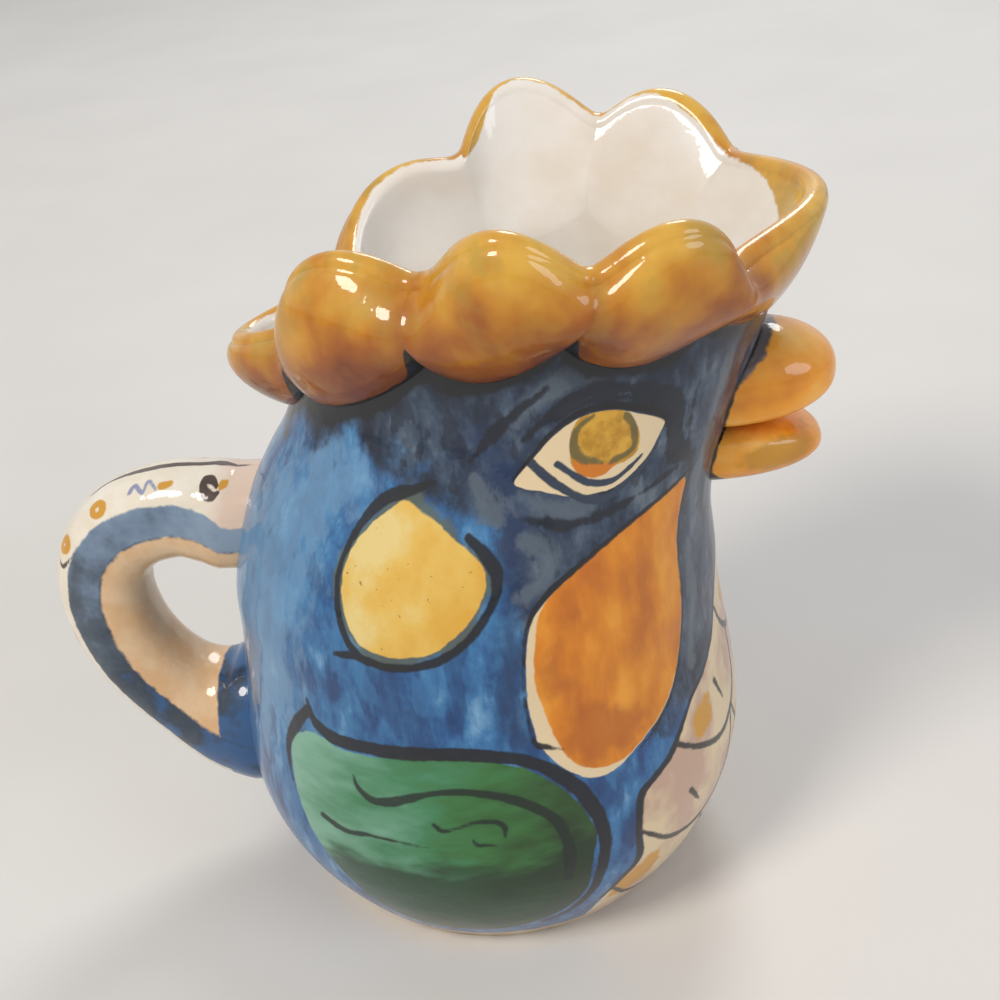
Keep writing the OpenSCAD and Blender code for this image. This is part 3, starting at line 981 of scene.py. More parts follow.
@dataclass(frozen=True)
class HandleGlaze:
    """Cream handle with blue bands down its sides, ochre rings and brown curls on its back."""

    name: str = "handle_cream_blue_glaze"
    creams: Tones = ("#F1EBDD", "#E9E0CC")
    tans: Tones = ("#E6C59C", "#DDB384")
    # Blue of the band, from the nape to the belly: paler at the top and dark slate lower down, partly its own
    # tone and partly painted highlight and painted shade
    blues: Tones = ("#879DB4", "#6C8199", "#485665", "#2E3C4C", "#28588B")
    rosy: str = "#E6CDB9"
    ochre: str = "#D39A2E"
    lilac: str = "#8F97B5"
    brown: str = "#46352A"
    line: str = "#2B3850"

    def build(self) -> bpy.types.Material:
        """Makes the material."""
        p = Palette(self.name)
        fine, coarse = p.noise(BRISTLE), p.noise(7)
        base = p.over(p.ramp(coarse, (0.35, 0.6), self.creams), self.rosy, p.edge("nape", coarse, 8, 6))
        tone = p.sum("SUBTRACT", p.sum("ADD", p.mark("along"), coarse), 0.5)
        # Painted highlight at the top of the band, painted shade on its lower run
        blue = p.ramp(tone, (0.05, 0.35, 0.55, 0.8, 0.95), self.blues)
        for mark, paint in (("ochre", self.ochre), ("lilac", self.lilac), ("brown", self.brown)):
            base = p.over(base, paint, p.edge(mark, fine, 0.35, 0.2))
        base = p.over(base, p.ramp(coarse, (0.38, 0.62), self.tans), p.edge("inner", fine, 0.5, 0.3))
        base = p.over(base, blue, p.edge("band", fine, 0.5, 0.3))
        base = p.over(base, self.line, p.edge("lines", fine, 0.6, 0.3), 0.6)
        return p.glaze(base, 0.4, p.noise(6), 0.2, 0.8)


@dataclass(frozen=True)
class FootClay:
    """Bare buff earthenware, wiped of glaze: matt, gritty, a little stained where it stands."""

    name: str = "bare_buff_earthenware"
    buffs: Tones = ("#B09A7E", "#CDB99B", "#DCCBB0")

    def build(self) -> bpy.types.Material:
        """Makes the material."""
        p = Palette(self.name)
        base = p.ramp(p.noise(5, 4), (0.35, 0.55, 0.75), self.buffs)
        # Grit of 0.4 mm, drawn at 0.8 mm so that it shows
        return p.glaze(base, 0.75, p.noise(0.8, 4, 0.7), 0.12, 0.0)


@dataclass(frozen=True)
class Tabletop:
    """Plain pale matt table under the jug."""

    name: str = "pale_tabletop"
    tones: Tones = ("#DCDAD6", "#E1DFDB")

    def build(self) -> bpy.types.Material:
        """Makes the material."""
        p = Palette(self.name)
        cloud = p.ramp(p.noise(90, 2), (0.3, 0.7), self.tones)
        shader = p.add("ShaderNodeBsdfPrincipled", {"Base Color": cloud, "Roughness": 0.6, "IOR": 1.45})
        p.add("ShaderNodeOutputMaterial", {"Surface": shader.outputs[0]})
        return p.material


class Finishes:
    """All materials, each made once."""

    def __init__(self) -> None:
        """Makes them."""
        self.white = WhiteGlaze().build()
        self.feathers = FeatherGlaze().build()
        self.comb = CombGlaze().build()
        self.beak = BeakGlaze().build()
        self.handle = HandleGlaze().build()
        self.foot = FootClay().build()
        self.table = Tabletop().build()


# Pieces


@dataclass
class Plumage:
    """The painting on belly and head, both sides alike.

    Patches are rows of degrees from the breast and mm of height; strokes have their width in mm
    as well. Their points were read from the photograph, and the camera fitted to it put them on
    the wall; those that it doesn't show were chosen. The wall is unrolled for them: a way round it
    is its angle times a radius.
    """

    radius: float = 46.0
    # Height up to which bare clay shows
    clay_z: float = 4.4
    # Angles between which the tones of wing and ear patch turn from front to rear
    turn: tuple[float, float] = (62, 132)

    PATCHES = {
        "eye": [[
            (85.6, 102.1), (83.2, 105.8), (80, 109.2), (76.2, 111.5), (71.5, 112.4), (66.7, 112.2),
            (59.7, 110.4), (52, 107.9), (52, 105.4), (53.3, 102.3), (56.9, 99.7), (60.8, 98.4), (64.6, 98.4),
            (70.8, 98.7), (77.9, 100.3),
        ]],
        "iris": [[
            (75.1, 111.6), (72.6, 112.4), (69.1, 112.5), (65.4, 112), (62.5, 110.9), (59.5, 108.5),
            (57.6, 106), (57.3, 103.7), (59.1, 102.6), (62.3, 102.3), (64.1, 101.3), (67.3, 101.2),
            (70.7, 102.1), (73.5, 104), (75.1, 106.6), (75.9, 109.4),
        ]],
        "iris_low": [[
            (73.6, 104.8), (70.4, 104.2), (65.8, 103.3), (62.4, 102.8), (62, 101.6), (64.6, 100.8),
            (68.5, 101.2), (72.2, 102.4),
        ]],
        "wattle": [[
            (35.8, 94.2), (43.5, 92.8), (50.3, 91.1), (57.4, 88.8), (63.8, 85.7), (68.4, 83.1), (72.1, 79.8),
            (73.3, 76), (73.8, 70.5), (74.1, 63.4), (73.5, 58.1), (72.7, 54.9), (70, 51.1), (66.6, 47.9),
            (62.5, 45.6), (58.4, 45.3), (53.7, 46.6), (49.3, 48.5), (43.5, 51.1), (38.2, 54.9), (34.1, 60.9),
            (32.1, 68), (31.3, 75.3), (33.1, 83.3), (33.8, 88.8),
        ]],
        "wattle_fill": [[
            (35.7, 93.8), (43.3, 92.6), (50.1, 90.9), (57.3, 88.5), (63.7, 85.5), (67.8, 83), (70.4, 80.4),
            (71, 76.5), (71.5, 71.9), (71.7, 67.5), (70.5, 62.1), (69.1, 56.7), (67.5, 52.7), (65.2, 49.8),
            (62.1, 48), (58.1, 47.2), (53.6, 47.4), (49.6, 49), (43.8, 51.6), (38.6, 55.4), (34.5, 61.1),
            (32.6, 68.2), (31.8, 75.6), (33.6, 83.5), (34.3, 89),
        ]],
        "wattle_stain": [
            [(64.3, 57.9), (57.9, 60.5), (53.3, 57.3), (45.4, 55.6), (45.6, 52), (49.7, 49.7), (55.2, 48.8),
             (61.8, 49.5), (65.7, 53.2)],
            [(67.4, 80.2), (63.1, 77.5), (64.3, 72.4), (66.4, 69.2), (65.1, 65.4), (68.4, 66.2),
             (69.6, 72.5)],
        ],
        "ear": [[
            (109.8, 99.4), (105.2, 98.1), (99.8, 96.4), (94.1, 93.8), (88.9, 91.4), (85.3, 88.9),
            (83.8, 86.1), (84.3, 83.4), (86.4, 80.2), (89.3, 77.8), (93, 75.6), (97.3, 74.5), (102.3, 74.3),
            (106.9, 74.8), (110, 75.8), (112.8, 78.2), (115, 81.3), (116.9, 84.8), (117.8, 88.4),
            (117.6, 91.2), (116, 94.5), (113.4, 97.2),
        ]],
        "wing": [[
            (125.9, 54.3), (122.1, 54.4), (118.7, 53.3), (114, 53.2), (107.9, 53.4), (101.5, 53.9),
            (93.8, 54.3), (85, 53.5), (78.4, 51.7), (74.5, 49.8), (71.1, 47.1), (67.8, 43.7), (65.6, 40.4),
            (63.8, 36.5), (63, 33.3), (63.8, 29.9), (64.5, 25.5), (65.3, 19.5), (69.2, 14.4), (75.2, 11.1),
            (83, 8.6), (92.3, 8.1), (102, 7.9), (110.7, 9), (115.9, 12.4), (119.8, 17.1), (123, 22.5),
            (126.4, 27.6), (128.8, 31.5), (130.6, 35.6), (132, 39.6), (132.8, 44.7), (132.6, 49.6),
            (129.9, 52.6),
        ]],
        "wing_low": [[
            (124, 26.5), (117, 28), (109.9, 29), (101.1, 30.4), (92.4, 31), (85.3, 30), (77.4, 29.8),
            (72, 32.1), (69.9, 36.7), (62, 31.7), (60, 21.9), (63.7, 12.4), (74.9, 3), (93.4, 1), (113.3, 1),
            (122.6, 9), (126, 19),
        ]],
        "breast": [[
            (-30, 72), (0, 71), (7, 66), (12.9, 61), (18, 55.9), (21.9, 53.6), (26.8, 51.2), (32.3, 49.3),
            (36.3, 46.5), (39.9, 43.5), (42.9, 41.2), (47.7, 39.2), (51.2, 37), (52.2, 30), (51.6, 22),
            (55.5, 17.6), (60, 12.5), (63, 3), (60, -6), (0, -6), (-30, -6),
        ]],
        "dab": [
            [(27, 47.5), (34, 44.5), (33, 40), (26, 41.5)],
            [(47, 21), (58, 15.5), (56.5, 10.5), (46, 14)],
            [(6, 34), (12, 30), (10, 25), (3, 27)],
            [(-8, 58), (-3, 60), (3, 60), (8, 58), (0, 54)],
        ],
        "pale": [[
            (118, 103), (132, 106), (150, 99), (172, 88), (168, 74), (156, 60), (146, 48), (138, 50),
            (130, 62), (127, 76), (126, 90),
        ]],
    }
    STROKES = {
        "iris_ring": [
            [(71.6, 112, 0.7), (74.2, 110.5, 1.2), (74.9, 108.7, 1.5), (74.1, 106.5, 1.7),
             (71.3, 104.7, 1.4), (67.9, 103.9, 1.2), (65.8, 103.4, 0.8)],
            [(63, 111, 1.7), (60.8, 108.9, 1.6), (59, 106.3, 1.3), (58.8, 104.5, 1.3), (60.9, 103.6, 1.3),
             (63.6, 103.2, 0.9)],
        ],
        "lids": [
            [(77.3, 104.7, 0.9), (73.3, 102.8, 1), (68.7, 100.8, 1.1), (64.6, 99.9, 1.1), (60.9, 99.9, 1.1),
             (57.7, 101.3, 1), (55.4, 102.7, 0.8)],
            [(84.2, 105.9, 1.3), (79.1, 102.9, 1.3), (74.3, 100.6, 1.2), (70, 98.8, 1.1), (65.5, 97.3, 1.2),
             (61.4, 97, 1.3), (58.6, 98, 1.3), (55.5, 99.6, 1.2), (52.7, 101.8, 1), (51.4, 105, 0.6)],
        ],
        "veins": [
            [(114.3, 48.6, 0.6), (113.5, 46.4, 1.1), (110.6, 44.4, 1.5), (106.5, 44.5, 1.7),
             (101.8, 45.8, 1.5), (96.3, 47.2, 1.2), (90.4, 47.6, 1.2), (84.3, 46.7, 1.3), (78.9, 44.8, 1.3),
             (74.5, 42.2, 1.5), (71.2, 38.7, 1.7), (69.6, 34.4, 1.9), (69.4, 30.1, 2.1), (69.8, 25, 1.8)],
            [(96.7, 40.8, 0.7), (95, 39.5, 1), (91.8, 40.2, 0.8), (88.1, 41.2, 0.7), (84, 41.1, 0.7),
             (82.1, 39.7, 0.7), (82.3, 37.6, 0.5)],
            [(88.9, 37.6, 0.4), (88.1, 36.4, 0.6), (85.6, 36.2, 0.4), (83.8, 35.8, 0.2)],
            [(124, 37, 0.9), (118.2, 35.5, 0.8), (111.7, 36.2, 0.7), (104.7, 36, 0.5), (98.1, 35.6, 0.3)],
        ],
        "ink": [
            # Upper edge of the wing and its rear edge
            [(125.8, 61.2, 0.5), (125, 58.2, 1.5), (122.6, 56.1, 2.4), (117.8, 54.9, 2.6), (112, 54.9, 2.6),
             (104.8, 54.9, 2.7), (97, 55.1, 2.6), (88.5, 55, 2.5), (80.3, 53.7, 2.3), (74.2, 51.5, 2.3),
             (69.4, 48.1, 2.5), (65.6, 44.1, 2.7), (62.8, 38.8, 2.6), (61.5, 33.7, 2.4), (61.4, 28.8, 2.3),
             (62.4, 23.6, 2.2), (64, 18, 2), (68.5, 12.5, 1.6), (76, 9, 0.6)],
            [(125.7, 59.2, 1.6), (129.3, 55.6, 2.5), (132.4, 51.9, 2.1), (134, 48.5, 1.4), (134, 44.7, 0.8),
             (133.2, 41.2, 0.4)],
            # Ring round the ear patch, in two strokes that miss each other
            [(104, 102.7, 0.6), (108.3, 101.3, 1.7), (112.8, 100.1, 2.4), (115.8, 98.5, 2.6),
             (117.5, 96, 2.1), (118.5, 93.1, 1.5), (118.9, 90.3, 1.2), (118.8, 87.5, 1.1),
             (117.8, 83.9, 1.1), (115.9, 80, 1.1), (113.6, 76.5, 1.2), (110.7, 74.1, 1.3),
             (107.5, 72.9, 1.5), (102.8, 72.4, 1.2)],
            [(91.6, 94.2, 1), (87.2, 91.9, 1.5), (83.5, 89.5, 2), (81.7, 87.2, 2), (81.2, 84.4, 1.7),
             (82.5, 81.4, 1.6), (84.8, 78.5, 1.6), (88, 76, 1.6), (91.9, 74, 1.7), (96.2, 72.9, 1.5),
             (101.7, 72.3, 1.4), (106.3, 72.6, 1.4), (111.1, 73.5, 1.4), (116.3, 73.2, 0.9)],
            # Upper lid
            [(86.2, 102.9, 0.4), (83.6, 106.4, 0.7), (80.3, 110.1, 0.9), (75.4, 112.7, 1.1),
             (69.3, 113.3, 1.3), (62.9, 112.3, 1.3), (56.9, 110.5, 1.3), (50.8, 107.9, 0.9)],
            # Edges of the wattle
            [(32.6, 95.6, 0.5), (37.3, 94.4, 0.8), (43.6, 93, 0.8), (50.5, 91.4, 0.9), (57.5, 89, 1),
             (64.1, 86.2, 1.2), (68.8, 83.8, 1.2), (72.2, 80.8, 1), (73.6, 77.3, 0.7)],
            [(73.6, 77.3, 0.6), (74.2, 72.3, 0.5), (74.6, 66.5, 0.5), (74.5, 60.8, 0.5), (73.8, 55.6, 0.6)],
            [(33.8, 94.5, 0.5), (32.9, 87.8, 0.4), (32, 82, 0.4), (31.2, 72.9, 0.5), (32.1, 65.5, 0.5),
             (34.8, 58.8, 0.5), (39, 53.5, 0.5), (45, 49.5, 0.6), (51.4, 46.8, 0.4)],
            [(73, 54.8, 1.2), (71.6, 54.3, 1), (68, 53.1, 0.3)],
            # Edge of the breast
            [(0, 71.6, 0.8), (7, 66.7, 0.8), (12.9, 61.6, 0.7), (18, 56.5, 0.7), (21.9, 54.2, 0.7),
             (26.8, 51.8, 0.7), (32.3, 49.9, 0.8), (36.3, 47.1, 1), (39.9, 44.1, 1.2), (42.9, 41.8, 1.4),
             (47.7, 39.8, 1.5), (51.8, 37.4, 1.6), (53, 30, 1.4), (52.4, 22, 1.5), (56.2, 17.8, 1.3),
             (60.8, 12.7, 0.9)],
            # Large feathers of the breast, in staggered rows of cups
            [(-14, 63, 0.6), (-9, 53, 1.1), (0, 49.5, 1.4), (9, 53, 1.1), (14.5, 60, 0.7)],
            [(6, 51, 0.7), (9.5, 40.5, 1.2), (20, 35.5, 1.4), (31, 38, 1.2), (40.5, 43.5, 0.9)],
            [(-14, 40, 0.7), (-9, 31, 1.2), (0, 27.5, 1.4), (9, 31, 1.2), (14, 37.5, 0.7)],
            [(14.5, 37, 0.7), (18, 26, 1.2), (29, 20, 1.5), (42, 22, 1.2), (52, 29, 0.9)],
            [(1, 27.5, 0.7), (5, 17, 1.2), (15, 12.5, 1.4), (25, 14.5, 1.2), (30, 20, 0.7)],
            [(27, 17, 0.7), (32, 9.5, 1.2), (42, 6.5, 1.4), (52, 9.5, 1.2), (58, 15, 0.7)],
            [(-10, 16, 0.7), (-5, 9, 1.1), (0, 7.5, 1.2), (5, 9, 1.1), (10, 13.5, 0.7)],
            # Quills of four feathers
            [(22, 47.5, 1.2), (19, 42, 0.4)],
            [(37, 31, 1.2), (33.5, 26.5, 0.4)],
            [(0, 41, 1), (0, 34.5, 0.4)],
            [(16, 23, 1.2), (15, 17.5, 0.4)],
        ],
        # Soft washes: dark over the eye and ahead of it, pale round it, blue behind the wattle
        "dark_strokes": [
            [(87.1, 108.9, 0.8), (83, 112, 1.4), (77.5, 115.5, 1.7), (71.5, 116.3, 1.9), (64.3, 115.5, 2.3),
             (56.9, 113, 2.8), (49.7, 110.7, 3.4), (46.2, 106.7, 1.8)],
            [(80.2, 112.4, 0.6), (75.4, 114.4, 1), (69.8, 114.7, 1.2), (62.2, 113.7, 1.4), (54.2, 111, 2)],
            [(55, 110.4, 1.6), (51.5, 109.4, 3.4), (48.2, 107.6, 4.4), (46.4, 104, 4.6), (43.8, 101, 4.4),
             (40.5, 99.4, 2.6)],
            [(79.9, 96.2, 0.6), (70.2, 94.2, 1.1), (62.9, 94, 1.4), (56.2, 94.9, 1.5), (48.3, 96.1, 1.5),
             (40.9, 97.4, 0.9)],
            [(84, 117.5, 0.8), (92, 112, 2.4), (97, 106.5, 1)],
            [(43.1, 115.4, 0.8), (43.8, 110.2, 1), (41.6, 104.6, 1.2), (38, 98.6, 0.8)],
            [(22.5, 106, 0.6), (23.5, 98, 1.4), (21.5, 90, 1.4), (20, 82, 0.6)],
        ],
        "pale_strokes": [
            [(90, 111.5, 1), (86, 115.5, 3.4), (79, 119, 3.6), (70, 120, 1.4)],
            [(79.5, 113.8, 0.6), (72, 115.5, 1), (66, 115, 0.6)],
            [(34, 116, 1.4), (33.5, 110.8, 2.8), (31.7, 103.6, 3.2), (29.4, 96.7, 2.8), (27.5, 90, 2.2),
             (25.4, 83, 1.2)],
            [(83.2, 99.6, 1.4), (77.7, 98, 2.8), (71.1, 96.4, 3), (65.5, 95.4, 1.6)],
            [(78, 93, 1.5), (72.5, 90, 3.6), (70.5, 87, 4.2), (74.5, 83.5, 2)],
            [(94.5, 103, 1.2), (91, 99, 2.6), (86, 96, 1.4)],
            [(27, 80, 1.2), (26.5, 72, 2.2), (28, 64, 2.4), (31, 57, 1.4)],
        ],
        "navy": [[
            (97, 110, 3), (90, 104, 3.5), (84, 98, 4), (79.5, 90, 5), (77, 82, 5.5), (77, 74, 4.5),
            (78, 66, 4.5), (77, 58, 3),
        ]],
    }
    # Height up to which the blue reaches, by angle
    SLATE_ANGLES = (0, 35, 60, 71, 78, 84.5, 92.6, 103.5, 109, 115.5, 123.6, 134.3, 144.7, 180)
    SLATE_HEIGHTS = (44, 46, 56, 66, 86, 93, 97, 101, 103, 105, 107, 108.5, 106.4, 107)
    # How far down the ink line under the comb reaches, by angle; the painted shade below it reaches further
    SHADE_ANGLES = (0, 60, 90, 100, 116, 140, 165, 180)
    SHADE_DEPTHS = (1.4, 1.4, 1.5, 1.9, 2.5, 2.8, 2, 1.5)

    def marks(self, angle: np.ndarray, height: np.ndarray, comb_gap: np.ndarray) -> dict[str, np.ndarray]:
        """Distances to every mark, for points of the wall's outside.

        Args:
            angle: Angle from the breast, in degrees.
            height: Height above the table.
            comb_gap: How far the point lies below the comb's seam.

        Returns:
            One array for each mark.
        """
        folded = np.abs((angle + 180) % 360 - 180)
        stretch = np.radians(1) * self.radius
        where = np.stack([folded * stretch, height], -1)
        start, end = self.turn
        return {
            **drawn(patch_distance, self.PATCHES, where, stretch),
            **drawn(stroke_distance, self.STROKES, where, stretch),
            "turn": np.clip((folded - start) / (end - start), 0, 1),
            "slate": np.interp(folded, self.SLATE_ANGLES, self.SLATE_HEIGHTS) - height,
            "under_comb": comb_gap - np.interp(folded, self.SHADE_ANGLES, self.SHADE_DEPTHS),
            "foot": height - self.clay_z,
        }


@dataclass
class Pot:
    """Foot ring, belly and head: the thrown pot with its painting."""

    wall: Wall
    comb: CombForm
    finishes: Finishes
    plumage: Plumage = field(default_factory=Plumage)
    foot_w: float = 6.0
    foot_edge: float = 0.6
    # Heights at which the foot's outer and inner sides leave its rounded edges
    foot_side_z: float = 0.8
    foot_back_z: float = 1.2
    # How far the points of the foot's flat keep from its two sides
    foot_flat: float = 2.0
    # Radii of the last rings of underside and floor, round the points in their middle
    under_r: float = 8.0
    floor_r: float = 6.0
    foot_columns: int = 240
    columns: int = 600
    belly_rows: int = 112
    head_rows: int = 122
    inner_rows: int = 24

    def turned(self, profile: np.ndarray, columns: int) -> np.ndarray:
        """Profile carried round the axis: x = r cos, y = r sin, z = z, row by row."""
        r, z, turn = profile[:, :1], profile[:, 1:], turns(columns)
        return np.stack([r * np.cos(turn), r * np.sin(turn), np.broadcast_to(z, (len(profile), columns))], -1)

    def build_foot(self) -> None:
        """Foot ring: a turned ring whose two lower edges are rounded by quarter circles."""
        outer, top, r = self.wall.foot_d / 2, self.wall.foot_h, self.foot_edge
        inner = outer - self.foot_w
        bend = np.radians(np.linspace(0, 90, 6))
        rise = np.linspace(self.foot_side_z, top, 8)
        side = np.column_stack([self.wall.belly_radius(rise), rise])
        heel = np.column_stack([outer - r + r * np.sin(bend), r - r * np.cos(bend)])
        toe = np.column_stack([inner + r - r * np.cos(bend), r - r * np.sin(bend)])
        flat = np.column_stack([np.linspace(inner + self.foot_flat, outer - self.foot_flat, 5), np.zeros(5)])
        back = np.column_stack([np.full(4, inner), np.linspace(top, self.foot_back_z, 4)])
        profile = np.concatenate([flat, heel, side, back, toe])
        grid = self.turned(profile, self.foot_columns).reshape(-1, 3)
        skin = Skin(grid, [quads(len(profile), self.foot_columns, True, True)])
        skin.dress("foot_ring_clay", "foot_ring", "bare_clay", self.finishes.foot)

    def build_belly(self) -> None:
        """Belly: a turned wall, painted outside, white inside, with its floor."""
        wall, columns = self.wall, self.columns
        floor_z = wall.foot_h + wall.floor_t
        round_z = floor_z + wall.floor_round
        up = np.linspace(wall.foot_h, wall.seam_z, self.belly_rows)
        down = np.linspace(wall.seam_z, round_z, self.inner_rows)
        outside = np.column_stack([wall.belly_radius(up), up])
        inside = np.column_stack([wall.belly_radius(down) - wall.thickness, down])
        bend = np.radians(np.linspace(9, 90, 10))
        r = wall.floor_round
        pivot = inside[-1, 0] - r
        hollow = np.column_stack([pivot + r * np.cos(bend), round_z - r * np.sin(bend)])
        under = np.column_stack([np.linspace(self.under_r, outside[0, 0] - 1, 5), np.full(5, wall.foot_h)])
        floor = np.column_stack([np.linspace(pivot - self.floor_r, self.floor_r, 5), np.full(5, floor_z)])
        profile = np.concatenate([under, outside, inside, hollow, floor])
        tips = [[0, 0, wall.foot_h], [0, 0, floor_z]]
        points = np.vstack([self.turned(profile, columns).reshape(-1, 3), tips])
        inner = np.repeat(np.arange(len(profile) - 1) >= len(under) + len(outside) - 1, columns)
        slots = np.concatenate([inner, np.zeros(columns), np.ones(columns)])
        angle = np.degrees(np.arctan2(points[:, 1], points[:, 0]))
        marks = self.plumage.marks(angle, points[:, 2], np.full(len(points), FAR))
        skin = Skin(points, tube(len(profile), columns), marks, slots)
        skin.dress("belly_painted", "belly", "blue_glaze", self.finishes.feathers, self.finishes.white)

    def build_head(self) -> None:
        """Head: ellipses lofted from the seam up to the comb's seam, painted outside."""
        wall, comb, rows = self.wall, self.comb, self.head_rows
        angles, tops = [], []
        for k in range(len(comb.NAMES)):
            span = comb.NOTCHES[k + 1][0] - comb.NOTCHES[k][0]
            steps = round(span / 360 * self.columns)
            s = np.arange(steps) / steps
            angles.append(comb.angle(k, s))
            tops.append(comb.seam(k, s))
        angle, top = np.concatenate(angles)[:, None], np.concatenate(tops)[:, None]
        up = mix(wall.seam_z, top, np.linspace(0, 1, rows)[None])
        down = mix(top, wall.seam_z, np.linspace(0, 1, self.inner_rows)[None])
        outer, inner = wall.point(angle, up), wall.point(angle, down, wall.thickness)
        loops = np.concatenate([outer, inner], axis=1)
        stations, count = loops.shape[:2]
        height = np.concatenate([up, down], axis=1)
        gap = np.where(np.arange(count) < rows, top - height, FAR)
        turn = np.broadcast_to(np.degrees(angle), height.shape)
        marks = self.plumage.marks(turn.ravel(), height.ravel(), gap.ravel())
        slots = np.tile((np.arange(count) >= rows - 1) & (np.arange(count) < count - 1), stations)
        skin = Skin(loops.reshape(-1, 3), [quads(stations, count, True, True)], marks, slots)
        skin.dress("head_painted", "head_wall", "blue_glaze", self.finishes.feathers, self.finishes.white)

    def build(self) -> None:
        """Builds the three pieces."""
        self.build_foot()
        self.build_belly()
        self.build_head()


@dataclass
class Comb:
    """The eight lobes of the rim."""

    form: CombForm
    finishes: Finishes
    steps: int = 72
    rows: int = 58
    lip: int = 15
    # How far the orange comes over the lip, and how high the ink line along the seam is, in mm
    wrap: float = 1.0
    line: float = 1.0
    # Height and half width of the peaks of ink between lobes, in mm
    peak_h: float = 6.0
    peak_w: float = 1.8
    # Crown at a lobe's two sides, lower than in its middle, so that the valleys between lobes come out
    # darker, partly painted shade
    side_crown: float = 0.6

    # Where orange spills over the lip: share across the lobe, spread and depth in mm
    SPILLS = {0: (0.5, 0.28, 9.0), 1: (0.35, 0.25, 1.8), 2: (0.86, 0.13, 4.0)}
    TAIL = 4

    def build_lobe(self, k: int) -> None:
        """One lobe: loops lofted from notch to notch, painted outside and white inside.

        Args:
            k: Number of the lobe.
        """
        s = np.linspace(0, 1, self.steps + 1)
        loops = self.form.loops(k, s, self.rows, self.lip)
        stations, count = loops.shape[:2]
        leg = np.linalg.norm(np.diff(loops, axis=1), axis=2)
        run = np.concatenate([np.zeros((stations, 1)), np.cumsum(leg, axis=1)], axis=1)
        crest = self.rows + self.lip / 2
        reach = run - (run[:, int(crest)] + run[:, int(crest + 0.5)])[:, None] / 2
        place, spread, size = self.SPILLS.get(k, (0.5, 1.0, 0.0))
        over = self.wrap + size * np.exp(-(((s - place) / spread) ** 2))
        outside = np.clip((count - 1 - np.arange(count)) / self.rows, 0, 1)[None]
        across = np.minimum(s, 1 - s) * np.linalg.norm(self.form.notch(k + 1) - self.form.notch(k))
        above = run[:, -1:] - run
        line = 0.0 if k == self.TAIL else self.line
        marks = {
            "inside": reach + over[:, None],
            "ink": above - line - self.peak_h * np.exp(-((across / self.peak_w) ** 2))[:, None],
            "crown": outside * mix(self.side_crown, 1, scallop(s, 1))[:, None],
        }
        ends = [rungs(0, count, True), rungs((stations - 1) * count, count, False)]
        faces = np.vstack([quads(stations, count, False, True), *ends])
        skin = Skin(loops.reshape(-1, 3), [faces], {name: values.ravel() for name, values in marks.items()})
        node = self.form.NAMES[k]
        skin.dress(f"{node}_painted", node, "comb_glaze", self.finishes.comb)

    def build(self) -> None:
        """Builds every lobe."""
        for k in range(len(self.form.NAMES)):
            self.build_lobe(k)


